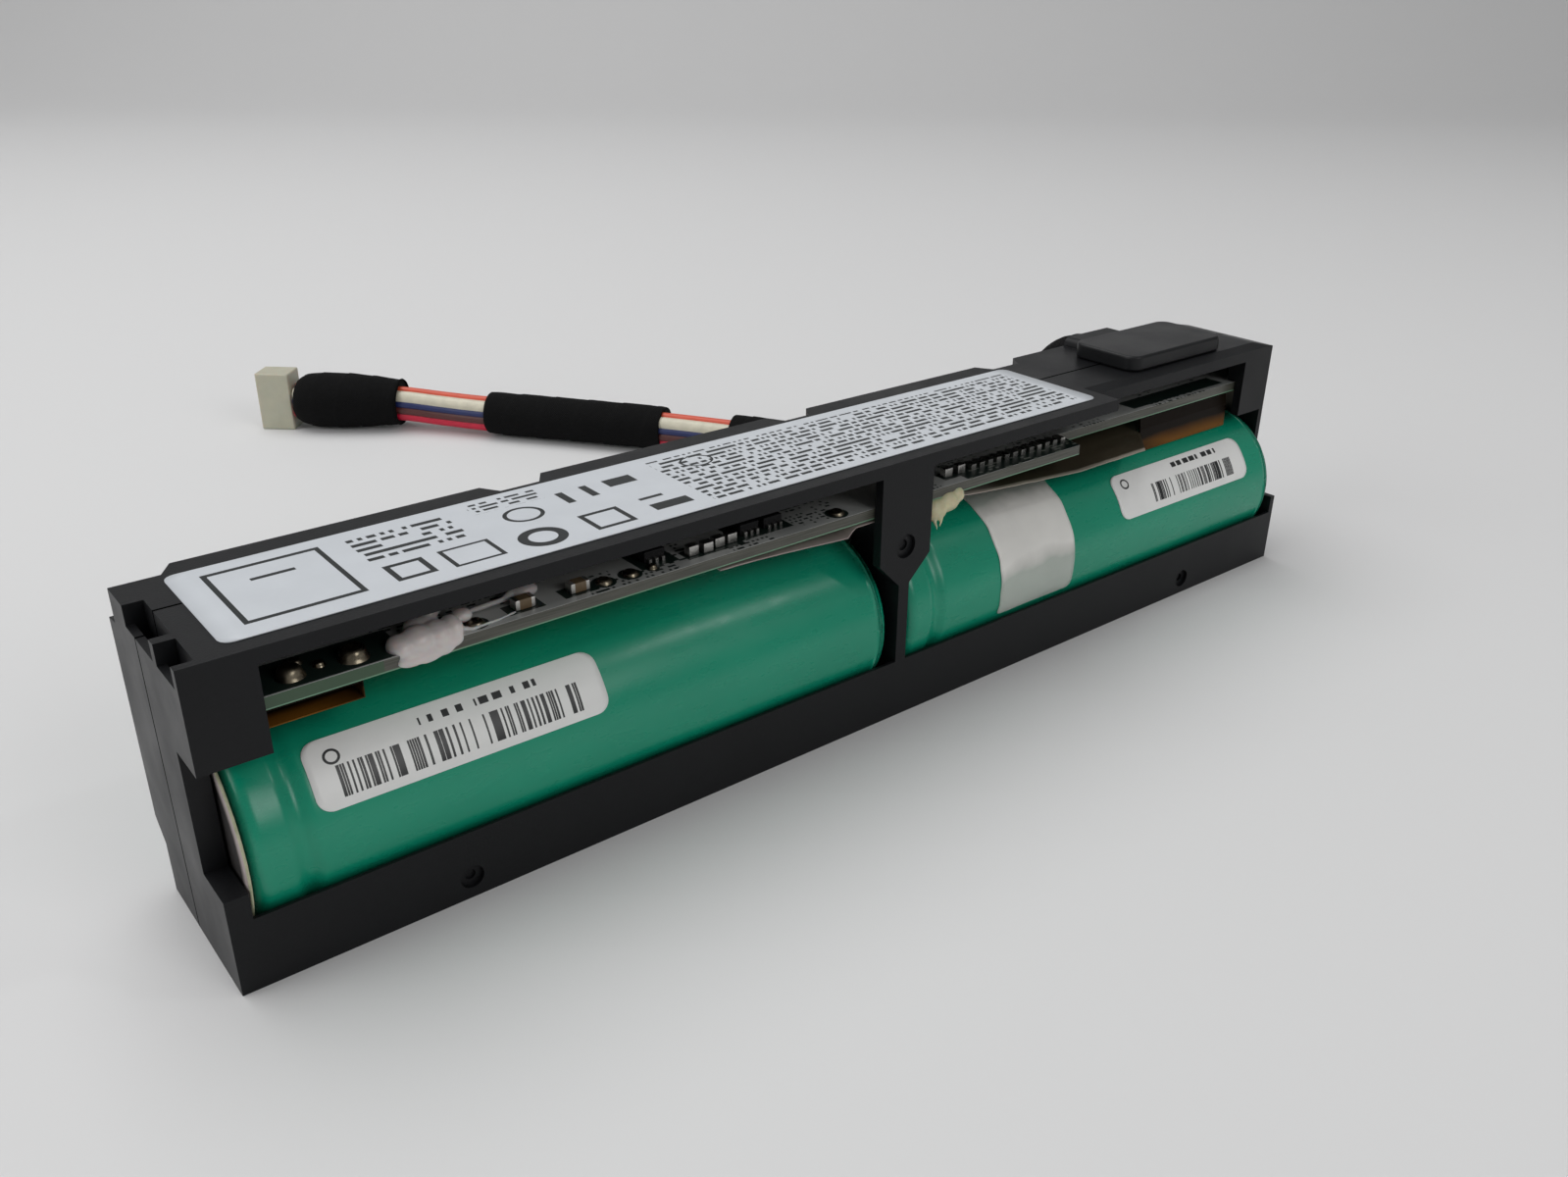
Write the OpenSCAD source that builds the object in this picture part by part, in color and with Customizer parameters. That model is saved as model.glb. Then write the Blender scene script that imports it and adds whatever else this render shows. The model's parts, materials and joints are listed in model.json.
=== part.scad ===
// Backup battery module: two round cells in a two-part moulded frame, with a
// protection board above them and a taped wire harness that ends in a plug.
// Inside the modules, x runs from the left end, y from the front face and z
// from the underside. place() moves that corner so that the origin lies under
// the middle of the frame.

/* [Cells] */
// Diameter of the steel can of one cell
can_d = 18; // [17:0.1:19]
// Length of one cell over its sleeve
cell_l = 65.6; // [60:0.1:70]
// Wall of the shrink sleeve round a cell
sleeve_t = 0.15; // [0.1:0.01:0.25]
// Fold of the sleeve over each end of a cell
fold_t = 0.1; // [0.06:0.01:0.2]
// Rounding of the can at both ends
can_fillet = 1.3; // [0.5:0.1:1.4]
// Distance from the end of the cell to the crimp groove
groove_x = 4.2; // [3.2:0.1:5]
// Depth of the crimp groove
groove_depth = 0.45; // [0.2:0.05:0.6]
// Radius of the mouth inside the crimp
mouth_r = 7.4; // [6.8:0.1:7.8]
// Radius of the positive cap
cap_r = 6.4; // [5:0.1:6.6]

/* [Frame] */
// Thickness of the left end wall
left_wall = 1.9; // [1.6:0.1:3]
// Thickness of the right end wall
right_wall = 0.8; // [0.6:0.1:1.4]
// Thickness of the web between the cells
web_t = 1.4; // [1:0.1:2]
// Room for the tab and insulator at the left end
left_room = 0.7; // [0.6:0.1:1.6]
// Room for the tab at the right end
right_room = 0.5; // [0.4:0.1:1.2]
// Room between the left cell and the web
link_room_left = 0.9; // [0.5:0.1:1.6]
// Room between the web and the right cell
link_room_right = 0.6; // [0.3:0.1:1.2]
// Clearance of the cells in their trough
trough_gap = 0.15; // [0.12:0.01:0.3]
// Floor under the cells
floor_t = 0.9; // [0.6:0.1:1.6]
// Depth behind the cells to the rear face
rear_gap = 0.35; // [0.25:0.05:1]
// Thickness of the top plate
top_t = 1.35; // [1:0.05:2]
// Height of the front rail
front_rail_h = 6.6; // [5:0.1:8]
// Height of the rear rail
rear_rail_h = 3.9; // [2.5:0.1:4.2]
// Distance from the front face to the seam of the halves
seam_y = 10.6; // [9.8:0.1:11.4]
// Depth that the rear edge is set back above and below
rear_step = 1.9; // [1.2:0.1:2.4]
// Width of the corner blocks
block_w = 5.6; // [4.5:0.1:7]
// Width of the centre post
post_w = 6.9; // [5:0.1:9]
// Thickness of the posts and front walls
post_t = 1.1; // [0.8:0.1:1.2]
// Height of the upper edge of the windows' posts
post_low = 18.2; // [16.5:0.1:19.5]
// Start of the set-back right part of the front face
step_x = 102; // [96:0.5:108]
// Depth of the set-back right part
step_y = 3.9; // [3:0.1:4.6]
// Drop of the set-back edge below the top face
step_drop = 0.5; // [0.3:0.1:1]
// Drop of the top face towards the right end
end_drop = 0.6; // [0.2:0.1:1]
// Diameter of the moulded dimples
dimple_d = 2.6; // [2:0.1:3.2]

/* [Top] */
// Left edge of the top label
label_x = 3.8; // [2.5:0.1:6]
// Length of the top label
label_l = 96.5; // [80:0.5:97.5]
// Distance from the front face to the top label
label_y = 1.75; // [1:0.05:3]
// Width of the top label
label_w = 14.35; // [10:0.05:15]
// Thickness of the labels and tapes
label_t = 0.1; // [0.06:0.01:0.14]
// Left label's distance from its cell's left end
left_label_at = 5.7; // [5.6:0.1:8]
// Length of the left cell's label
left_label_l = 26.5; // [20:0.5:30]
// Right label's distance from its cell's right end
right_label_at = 5.2; // [2:0.1:8]
// Length of the right cell's label
right_label_l = 25.3; // [20:0.1:30]
// White tape's distance from its cell's left end
white_tape_at = 13.9; // [8:0.1:20]
// Width of the white tape
white_tape_l = 12.3; // [8:0.1:14]
// Left edge of the pad
pad_x = 111.3; // [109:0.1:113]
// Length of the pad
pad_l = 17.8; // [14:0.1:20]
// Distance from the front face to the pad
pad_y = 5.4; // [5.2:0.1:6.5]
// Width of the pad
pad_w = 9.6; // [8:0.1:9.8]
// Height of the pad above the top face
pad_h = 1.9; // [1:0.1:3]
// Centre of the cable hood
hood_x = 119; // [116:0.1:121]
// Width of the cable hood
hood_w = 9.2; // [9:0.1:12]
// Rise of the cable hood above the top face
hood_h = 1.05; // [0.6:0.05:1.5]

/* [Board] */
// Thickness of the circuit board
board_t = 1.15; // [0.8:0.05:1.6]
// Height of the board above the cells
board_gap = 3.75; // [3:0.05:4.5]
// Room above the board, up to the top plate
board_room = 3.4; // [3:0.05:5]
// Setback of the board behind the front walls
board_set = 0.15; // [0.1:0.05:0.4]
// Thickness of the insulating sheet under the board
sheet_t = 0.25; // [0.15:0.05:0.4]
// Diameter of the large solder joints
solder_d = 2.1; // [1.6:0.1:2.6]
// Thickness of the nickel strips
strip_t = 0.15; // [0.1:0.01:0.2]
// Width of the nickel strips
strip_w = 5; // [3.5:0.1:6]
// Thickness of the insulator disc
disc_t = 0.25; // [0.15:0.05:0.4]

/* [Harness] */
// Diameter of the bare wire bundle
bundle_d = 6.4; // [5:0.1:6.6]
// Wall of the cloth tape round the bundle
wrap_t = 0.35; // [0.2:0.05:0.4]
// Wall of the thick wrap next to the plug
end_wrap_t = 1.3; // [0.6:0.05:1.4]
// Height of the plug
plug_h = 9.6; // [8:0.1:11]
// Width of the plug
plug_w = 4.8; // [4:0.1:6]
// Length of the plug
plug_l = 6; // [5:0.1:10]

/* [Hidden] */
$fn = 64;
eps = 0.01;

// Cells
can_r = can_d / 2;
cell_r = can_r + sleeve_t;
trough_r = cell_r + trough_gap;
axis_y = trough_r;
axis_z = floor_t + trough_r;
cell_top = axis_z + cell_r;
can_l = cell_l - 2 * fold_t;
left_x = left_wall + left_room;
web_x = left_x + cell_l + link_room_left;
right_x = web_x + web_t + link_room_right;
cap_h = 0.9;
crimp_h = 1.8;
// The groove is the side of a wide ring
groove_ring = 2;
groove_c = cell_r + groove_ring - groove_depth;
strip_low = axis_z - 3;
strip_y0 = axis_y - strip_w / 2;
strip_y1 = axis_y + strip_w / 2;
strip_room = 0.6;

// Frame
frame_l = right_x + cell_l + right_room + right_wall;
frame_d = axis_y + cell_r + rear_gap;
board_z = cell_top + board_gap;
board_top = board_z + board_t;
plate_z = board_top + board_room;
frame_h = plate_z + top_t;
mid_x = web_x + web_t / 2;
inner_r = frame_l - right_wall;
rear_low_y = frame_d - rear_step;
taper_h = (post_w - web_t) / 2;
notch_z0 = 9;
notch_z1 = 20.2;
notch_y = 4.6;
right_notch_z0 = 8.8;
slot_d = 1.6;
slot_sill = 1.8;
tab_bevel = 1.2;
step_low = 20;
ledge_t = 1.5;
ledge_z = board_z - ledge_t;
dimple_h = 0.45;
ledge_w = 1.4;
slide = 0.2;
end_slope = 2.8;
rear_post_t = 0.9;
rear_tab_spans = [[4, 34], [38, 67.6], [70.8, 99.5], [103.8, frame_l - 4]];
peg_d = 1.1;
peg_l = 2.2;
peg_gap = 0.04;
pegs = [[left_wall / 2, 4], [left_wall / 2, 24]];

// Board
board_x0 = left_wall + 0.3;
board_x1 = inner_r - 0.3;
board_y0 = post_t + board_set;
board_y1 = frame_d - 1.6;
board_step_x = step_x - 4.5;
board_step_y = step_y + post_t + board_set;
hold_gap = 0.1;
sheet_z = board_z - sheet_t;
sheet_x = [47.6, board_step_x + 5.5];
tape_x = [sheet_x[1] + 11, frame_l - block_w - 0.9];
run_z = board_z - 0.9;

// Harness
exit_x = hood_x - frame_l / 2;
exit_y = frame_d / 2;
exit_z = board_top + 1.95;
bundle_r = bundle_d / 2;
sides = 10;
route = [[exit_x, exit_y, exit_z], [exit_x + 0.2, exit_y + 2.4, exit_z - 0.7],
    [exit_x + 0.8, exit_y + 4.8, exit_z - 2.6], [exit_x + 1.5, exit_y + 6.9, exit_z - 5.6],
    [exit_x + 2.2, exit_y + 8.8, exit_z - 9.3], [exit_x + 2.8, exit_y + 11, exit_z - 13.3],
    [53, 23.6, 9.2], [52.4, 28.4, 6.2],
    [50.4, 35.6, 4.4], [46.6, 44.4, 3.8], [41.6, 54.2, 3.7], [35, 65.6, 3.7], [28.4, 75.6, 3.7],
    [19.5, 87.6, 3.7], [10, 100, 3.7], [5, 106.6, 3.9], [0, 112, 4.4], [-6, 117, 4.6],
    [-12.8, 122.6, 4.7], [-13.8, 123.5, 4.8]];

module place() {
    translate([-frame_l / 2, -frame_d / 2, 0]) children();
}

// Box from one corner to the opposite one
module box(a, b) {
    translate(a) cube(b - a);
}

// Outline in y and z, extruded along x from x0 to x1
module along_x(x0, x1) {
    translate([x0, 0, 0]) rotate([90, 0, 90]) linear_extrude(x1 - x0) children();
}

// Round bar along x from x0 to x1, on the axis of the cells
module axis_bar(r, x0, x1) {
    translate([x0, axis_y, axis_z]) rotate([0, 90, 0]) cylinder(r = r, h = x1 - x0);
}

// Flat plate with round corners
module round_plate(size, r) {
    linear_extrude(size.z) union() {
        translate([r, 0]) square([size.x - 2 * r, size.y]);
        translate([0, r]) square([size.x, size.y - 2 * r]);
        for (cx = [r, size.x - r], cy = [r, size.y - r]) translate([cx, cy]) circle(r);
    }
}

// ---- Frame ----

// Side view of the rear half of an end wall
module rear_wall_outline() {
    low = 4.8;
    polygon([[seam_y, 0], [rear_low_y, 0], [rear_low_y, low], [frame_d, low + rear_step],
        [frame_d, plate_z - rear_step], [rear_low_y, plate_z - rear_step + slide],
        [rear_low_y, frame_h], [seam_y, frame_h]]);
}

// Trough for both cells
module trough() {
    axis_bar(trough_r, left_wall, web_x);
    axis_bar(trough_r, web_x + web_t, inner_r);
}

// Front view of a window post, which narrows down to the web
module post_outline(top) {
    polygon([[mid_x - post_w / 2, post_low], [mid_x - web_t / 2, post_low - taper_h],
        [mid_x + web_t / 2, post_low - taper_h], [mid_x + post_w / 2, post_low],
        [mid_x + post_w / 2, top], [mid_x - post_w / 2, top]]);
}

// Round dent with a deeper point in its middle
module dimple(x, z, d) {
    translate([x, 0, z]) rotate([-90, 0, 0]) {
        translate([0, 0, -1]) cylinder(d = d, h = 1 + dimple_h);
        translate([0, 0, -1]) cylinder(d = d * 0.45, h = 1.25 + dimple_h);
    }
}

// Opening of the web for the link strip
module web_notch() {
    box([web_x - 1, strip_y0 - strip_room, cell_top + 0.3],
        [web_x + web_t + 1, strip_y1 + strip_room, board_z + 1]);
}

module front_frame() color("#2b2d30") place() difference() {
    union() {
        difference() {
            union() {
                box([0, 0, 0], [frame_l, seam_y, front_rail_h]);
                box([0, 0, 0], [left_wall, seam_y, frame_h]);
                box([inner_r, 0, 0], [frame_l, seam_y, right_notch_z0]);
                box([inner_r, step_y, 0], [frame_l, seam_y, plate_z]);
            }
            trough();
            bevel_rail();
        }
        front_web();
        top_plate_front();
        left_block();
        right_block();
        translate([0, post_t, 0]) rotate([90, 0, 0]) linear_extrude(post_t) post_outline(plate_z + eps);
    }
    box([-1, -1, notch_z0], [left_wall + 1, notch_y, notch_z1]);
    top_slots();
    dimple(mid_x, post_low + 1.5, dimple_d);
    dimple(19.9, 2.1, dimple_d - 0.4);
    dimple(119.2, 2, dimple_d - 0.4);
    web_notch();
    peg_holes();
    end_bevel();
}

// Slope on the inner edge of the front rail
module bevel_rail() {
    x0 = left_wall;
    for (span = [[x0, web_x], [web_x + web_t, inner_r]])
        along_x(span[0], span[1])
            polygon([[0.35, front_rail_h + eps], [2.2, front_rail_h - 1.6], [2.2, front_rail_h + eps]]);
}

// Web between the cells, front half
module front_web() {
    box([web_x, 0, 0], [web_x + web_t, seam_y, sheet_z]);
}

// Top plate with its set-back right part
module top_plate_front() {
    box([0, 0, plate_z], [step_x, seam_y, frame_h]);
    along_x(step_x - eps, frame_l)
        polygon([[step_y, plate_z - 0.5], [step_y + 1.1, plate_z - 0.5], [step_y + 1.6, plate_z],
            [seam_y, plate_z], [seam_y, frame_h], [pad_y - 0.2, frame_h],
            [step_y, frame_h - step_drop]]);
}

module left_block() {
    box([0, 0, notch_z1], [block_w, post_t, frame_h]);
    box([left_wall - eps, 0, ledge_z], [left_wall + ledge_w, strip_y0 - strip_room, board_z]);
    box([left_wall - eps, post_t - eps, board_top + hold_gap], [block_w, post_t + 1.5, plate_z + eps]);
}

module right_block() {
    box([frame_l - block_w, step_y, step_low], [frame_l, step_y + post_t, plate_z]);
    box([inner_r - ledge_w, step_y, ledge_z], [inner_r + eps, strip_y0 - strip_room, board_z]);
    box([frame_l - block_w, step_y + post_t - eps, board_top + hold_gap],
        [inner_r + eps, step_y + post_t + 1.2, plate_z + eps]);
}

// Two pockets in the upper left edge, which run out through the end wall
module top_slots() {
    sill = frame_h - slot_sill;
    for (span = [[0.8, 5], [6, 13]]) {
        box([-1, span[0], sill], [slot_d, span[1], frame_h + 1]);
        box([0.7, span[0], sill - 2.4], [slot_d, span[1], frame_h + 1]);
    }
}

// Slope of the top face down to the right end
module end_bevel() {
    translate([0, frame_d + 1, 0]) rotate([90, 0, 0]) linear_extrude(frame_d + 2)
        polygon([[frame_l - end_slope, frame_h], [frame_l, frame_h - end_drop],
            [frame_l + 1, frame_h - end_drop], [frame_l + 1, frame_h + 1],
            [frame_l - end_slope, frame_h + 1]]);
}

// Holes in the front half for the pegs of the rear half
module peg_holes() {
    for (p = pegs) translate([p[0], seam_y - peg_l - 0.2, p[1]]) rotate([-90, 0, 0])
        cylinder(d = peg_d + 2 * peg_gap, h = peg_l + 1, $fn = 32);
}

module peg_row() {
    for (p = pegs) translate([p[0], seam_y - peg_l, p[1]]) rotate([-90, 0, 0])
        cylinder(d = peg_d, h = peg_l + eps, $fn = 32);
}

module rear_frame() color("#2b2d30") place() difference() {
    union() {
        difference() {
            union() {
                box([0, seam_y, 0], [frame_l, rear_low_y, rear_rail_h]);
                along_x(0, left_wall) rear_wall_outline();
                along_x(inner_r, frame_l) rear_wall_outline();
            }
            trough();
        }
        along_x(web_x, web_x + web_t) intersection() {
            rear_wall_outline();
            square([frame_d + 1, sheet_z]);
        }
        rear_band();
        rear_tabs();
        cable_hood();
        rear_ledges();
        translate([0, frame_d, 0]) rotate([90, 0, 0]) linear_extrude(rear_post_t)
            post_outline(board_z);
        peg_row();
    }
    top_slots();
    web_notch();
    cable_opening();
    end_bevel();
}

// Wall and top plate behind the board
module rear_band() {
    top = plate_z - rear_step;
    along_x(0, frame_l)
        polygon([[board_y1 + slide, notch_z1], [frame_d, notch_z1], [frame_d, top],
            [rear_low_y, top + slide], [rear_low_y, frame_h], [seam_y, frame_h], [seam_y, plate_z],
            [board_y1 - 1.6, plate_z], [board_y1 - 1.6, board_top + hold_gap],
            [board_y1 + slide, board_top + hold_gap]]);
}

// Tabs on the rear edge, with sloped ends
module rear_tabs() {
    low = plate_z - rear_step;
    for (span = rear_tab_spans)
        translate([0, 0, low]) linear_extrude(frame_h - low)
            polygon([[span[0], rear_low_y - eps], [span[0] + tab_bevel, frame_d],
                [span[1] - tab_bevel, frame_d], [span[1], rear_low_y - eps]]);
}

// Raised block over the cable opening
module cable_hood() {
    y0 = pad_y + pad_w + 0.2;
    r = 1;
    translate([hood_x - hood_w / 2, frame_d, plate_z]) rotate([90, 0, 0])
        round_plate([hood_w, top_t + hood_h, frame_d - y0], r);
    box([hood_x - hood_w / 2, board_y1 + slide, notch_z1], [hood_x + hood_w / 2, frame_d, plate_z + r]);
}

module cable_opening() {
    w = 8;
    h = 4;
    z0 = board_top + 0.3;
    box([hood_x - w / 2, board_y1 - 2, z0], [hood_x + w / 2, frame_d + 1, z0 + h]);
}

module rear_ledges() {
    for (x = [left_wall - eps, inner_r - ledge_w])
        box([x, strip_y1 + strip_room, ledge_z], [x + ledge_w + eps, board_y1 + slide + eps, board_z]);
}

// ---- Cells ----

// Half section of a rounded can, from its positive end
module can_section(r, l, fillet) {
    translate([0, fillet]) square([r, l - 2 * fillet]);
    square([r - fillet, l]);
    for (y = [fillet, l - fillet]) translate([r - fillet, y]) circle(fillet, $fn = 32);
}

// Moves a revolved cell, drawn up from its positive end, to its place
module cell_place(x) {
    translate([x + fold_t, axis_y, axis_z]) rotate([0, 90, 0]) children();
}

module can_shape() {
    rotate_extrude() difference() {
        can_section(can_r, can_l, can_fillet);
        translate([groove_c, groove_x]) circle(groove_ring + sleeve_t);
        translate([-1, -1]) square([mouth_r + 1, crimp_h + 1]);
        translate([-20, -1]) square([20, can_l + 2]);
    }
}

module sleeve_shape() {
    rotate_extrude() difference() {
        translate([0, -fold_t]) can_section(cell_r, cell_l, can_fillet + fold_t);
        difference() {
            can_section(can_r, can_l, can_fillet);
            translate([groove_c, groove_x]) circle(groove_ring + sleeve_t);
        }
        translate([groove_c, groove_x]) circle(groove_ring);
        translate([-20, -1]) square([20 + mouth_r - 0.3, can_l + 2]);
    }
}

module gasket_shape() {
    rotate_extrude() translate([cap_r, 0.3]) square([mouth_r - cap_r, crimp_h - 0.3]);
}

module cap_shape() {
    rotate_extrude() {
        translate([0, crimp_h - cap_h]) square([cap_r, cap_h]);
        translate([0, -fold_t]) square([cap_r * 0.6, crimp_h]);
    }
}

module left_can() color("#b9bcc0") place() cell_place(left_x) can_shape();
module right_can() color("#b9bcc0") place() cell_place(right_x) can_shape();
module left_sleeve() color("#1f8f74") place() cell_place(left_x) sleeve_shape();
module right_sleeve() color("#1f8f74") place() cell_place(right_x) sleeve_shape();

module cell_gaskets() color("#3a3a3c") place()
    for (x = [left_x, right_x]) cell_place(x) gasket_shape();

module cell_caps() color("#c9ccd0") place()
    for (x = [left_x, right_x]) cell_place(x) cap_shape();

module left_insulator() color("#d9cfca") place()
    axis_bar(cell_r - 0.05, left_wall + 0.02, left_wall + 0.02 + disc_t);

// ---- Nickel strips ----

// Strip with an upright leg against a cell's end and a flat run under the board
module strip(x, dir, run) {
    outline = [[0, strip_low], [0, run_z], [run, run_z], [run, run_z + strip_t],
        [-strip_t, run_z + strip_t], [-strip_t, strip_low]];
    translate([x, strip_y1, 0]) rotate([90, 0, 0]) linear_extrude(strip_w)
        polygon([for (p = outline) [dir * p[0], p[1]]]);
}

module left_tab() color("#c4c4c0") place() strip(left_x, 1, 9);
module right_tab() color("#c4c4c0") place() strip(right_x + cell_l, -1, 8);

module link_strip() color("#c4c4c0") place() {
    a = left_x + cell_l;
    b = right_x;
    top = cell_top + 0.9;
    translate([0, strip_y1, 0]) rotate([90, 0, 0]) linear_extrude(strip_w) {
        translate([a, strip_low]) square([strip_t, top - strip_low]);
        translate([b - strip_t, strip_low]) square([strip_t, top - strip_low]);
        translate([a, top - strip_t]) square([b - a, strip_t]);
    }
}

// ---- Board ----

module circuit_board() color("#8fa08c") place()
    translate([0, 0, board_z]) linear_extrude(board_t)
        polygon([[board_x0, board_y0], [board_step_x, board_y0], [board_step_x + 0.8, board_step_y],
            [board_x1, board_step_y], [board_x1, board_y1], [board_x0, board_y1]]);

module board_sheet() color("#d8d0cc") place()
    box([sheet_x[0], board_y0 + 0.5, sheet_z], [sheet_x[1], board_y1 - 1, board_z]);

// Drops of solder on the board: [x, y, radius]
module drops(list, squash) {
    for (p = list) translate([p[0], p[1], board_top]) intersection() {
        sphere(r = p[2], $fn = 32);
        translate([-p[2], -p[2], 0]) cube([2 * p[2], 2 * p[2], p[2] * squash]);
    }
}

module solder_joints() color("#8d8a80") place()
    drops([[8.6, 3.2, solder_d / 2], [13.6, 3.2, solder_d / 2 + 0.1]], 1);

module solder_pads() color("#a8a89c") place()
    drops([[9.6, 5, 0.6], [11, 3.6, 0.5], [23.7, 2.6, 0.75], [36.2, 3, 0.75], [38.9, 3, 0.75],
        [41.2, 2.9, 0.45], [62.6, 2.6, 0.8]], 0.5);

module chip(x, y, size) {
    translate([x - size.x / 2, y - size.y / 2, board_top]) cube(size);
}

module controller_chip() color("#1c1d1f") place() chip(84, 11, [6, 6, 0.9]);

// Small outline packages: [x, y]
power_chips_at = [[42.2, 5.2], [52.8, 5], [55.6, 5], [48, 11]];
power_chip = [2.2, 2.4, 1.1];

module power_chips() color("#1c1d1f") place()
    for (p = power_chips_at) chip(p[0], p[1], power_chip);

module chip_legs() color("#b5b5b0") place()
    for (p = power_chips_at, side = [-1, 1], k = [-1, 0, 1])
        chip(p[0] + k * 0.7, p[1] + side * (power_chip.y / 2 + 0.2), [0.3, 0.4, 0.45]);

module chip_capacitors() color("#a08055") place()
    for (p = [[28.3, 3], [33.6, 3], [90, 9], [92, 9]]) chip(p[0], p[1], [1.9, 1.1, 0.95]);

module chip_resistors() color("#c9c9c4") place()
    for (p = [[45.7, 3.2], [47.2, 3], [48.7, 3.3], [50.2, 3.4], [78.5, 3.4], [80.4, 3.4]])
        chip(p[0], p[1], [1.1, 0.9, 1]);

module pin_row() color("#a9a9a2") place()
    for (k = [0 : 11]) chip(82.2 + 1.3 * k, 3.6, [0.7, 1.3, 0.6]);

module sense_fuse() color("#d4d4cc") place() chip(70, 7.5, [4.6, 2.2, 1.6]);

// Flat lugs on the board where the harness wires are soldered
module wire_lugs() color("#b0aea6") place()
    for (k = [0 : 4]) chip(hood_x - 3.2 + 1.6 * k, board_y1 - 3.4, [1.1, 2.6, 0.6]);

// Sealant pulled out along the board: [x, y, height over the board, radius]
smear = [[20, 4.6, 0.5, 1], [23.6, 5, 0.25, 0.6], [27, 5.2, 0.5, 0.7], [29, 5.4, 1, 0.9],
    [32, 5.6, 2.2, 0.5], [35.6, 5, 2.9, 0.45]];

// One drop of the sealant
module drop(p)
    translate([p[0], p[1], board_top + p[2]]) sphere(p[3], $fn = 16);

// Soft bead of sealant that hangs over the board's front edge
module silicone_bead() color("#e3dcd8") place() difference() {
    union() {
        hull() {
            translate([17, 3.8, board_top + 0.3]) sphere(1.6, $fn = 20);
            translate([19.9, 3.3, board_top + 0.9]) sphere(1.8, $fn = 20);
            translate([17.4, 2, board_top + 0.1]) sphere(1.2, $fn = 20);
            translate([19.4, 1.9, board_top + 0.2]) sphere(1.2, $fn = 20);
        }
        hull() {
            translate([17.2, 1.3, board_top - 0.1]) sphere(0.8, $fn = 16);
            translate([19.8, 1.4, board_top]) sphere(0.9, $fn = 16);
            translate([18.6, 1.4, board_z + 0.4]) sphere(0.7, $fn = 16);
        }
        for (i = [0 : len(smear) - 2]) hull() {
            drop(smear[i]);
            drop(smear[i + 1]);
        }
    }
    box([10, board_y0, board_z - 5], [40, 20, board_top]);
}

// Drop of hard glue beside the centre post
module glue_bead() color("#cfc8a4") place() difference() {
    hull() {
        translate([mid_x + post_w / 2 + 1.6, 1.5, board_z - 1.2]) sphere(1.45, $fn = 20);
        translate([mid_x + post_w / 2 + 3.6, 1.6, board_z - 1.2]) sphere(1.1, $fn = 20);
        translate([mid_x + post_w / 2 + 2.4, 1.5, board_z + 0.4]) sphere(0.9, $fn = 20);
    }
    box([60, board_y0, board_z], [90, 20, board_top]);
    box([60, board_y0 + 0.5, sheet_z], [90, 20, board_z]);
    box([mid_x - 10, 0, 0], [mid_x + post_w / 2, post_t, frame_h]);
}

// ---- Tapes and labels ----

// Strip on the skin of a cell, from angle a0 to a1 above the front
module skin(x0, x1, a0, a1, r0, r1) {
    translate([x0, axis_y, axis_z]) rotate([0, 90, 0]) rotate([0, 0, -90])
        rotate([0, 0, -a1]) rotate_extrude(angle = a1 - a0) translate([r0, 0]) square([r1 - r0, x1 - x0]);
}

module left_amber_tape() color("#a8763a") place() difference() {
    low = run_z - 0.6;
    box([left_wall + 1.6, board_y0, low], [13.4, strip_y1 + 0.5, board_z]);
    box([0, 0, low + label_t], [13.4 - label_t, frame_d, board_z - label_t]);
}

module right_amber_tape() color("#a8763a") place()
    along_x(tape_x[0], tape_x[1])
        polygon([[5.6, board_z], [5.9, board_z], [5.6, board_z - 1.6], [5.5, cell_top - 0.7],
            [5.2, cell_top - 0.7], [5.3, board_z - 1.6]]);

module white_tape() color("#c9c8c6") place()
    skin(right_x + white_tape_at, right_x + white_tape_at + white_tape_l, -20, 100, cell_r, cell_r + label_t);

module thermistor() color("#26282b") place()
    translate([58, axis_y, cell_top + 0.9]) rotate([0, 90, 0]) cylinder(r = 0.9, h = 4, $fn = 32);

module top_label() color("#c8ccd0") place()
    translate([label_x, label_y, frame_h]) round_plate([label_l, label_w, label_t], 1);

module left_cell_label() color("#c8ccd0") place()
    skin(left_x + left_label_at, left_x + left_label_at + left_label_l, 18, 54.5, cell_r, cell_r + label_t);

module right_cell_label() color("#c8ccd0") place() {
    x1 = right_x + cell_l - right_label_at;
    skin(x1 - right_label_l, x1, 17.5, 52, cell_r, cell_r + label_t);
}

module bumper_pad() color("#2b2d30") place()
    translate([pad_x, pad_y, frame_h]) round_plate([pad_l, pad_w, pad_h], 1.6);

// ---- Harness ----

function unit(v) = v / norm(v);
function route_dir(i) = i == 0 ? [0, 1, 0]
    : i == len(route) - 1 ? unit(route[i] - route[i - 1])
    : unit(route[i + 1] - route[i - 1]);
function side_dir(i) = unit(cross(route_dir(i), [0, 0, 1]));
function ring(i, r) = [for (k = [0 : sides - 1])
    let (a = 360 * k / sides, s = side_dir(i), u = cross(s, route_dir(i)))
    route[i] + r * (cos(a) * s + sin(a) * u)];

// Faces between n rings of points, two triangles for each side
function tube_walls(n) = [for (i = [0 : n - 2], k = [0 : sides - 1])
    let (m = (k + 1) % sides, near = i * sides, far = near + sides)
    each [[near + k, near + m, far + m], [near + k, far + m, far + k]]];

// Solid tube of radius r along the route's points from a to b
module swept(a, b, r) {
    n = b - a + 1;
    points = [for (i = [a : b]) each ring(i, r)];
    walls = tube_walls(n);
    start = [for (k = [sides - 1 : -1 : 0]) k];
    finish = [for (k = [0 : sides - 1]) (n - 1) * sides + k];
    polyhedron(points, concat(walls, [start, finish]), convexity = 6);
}

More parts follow.
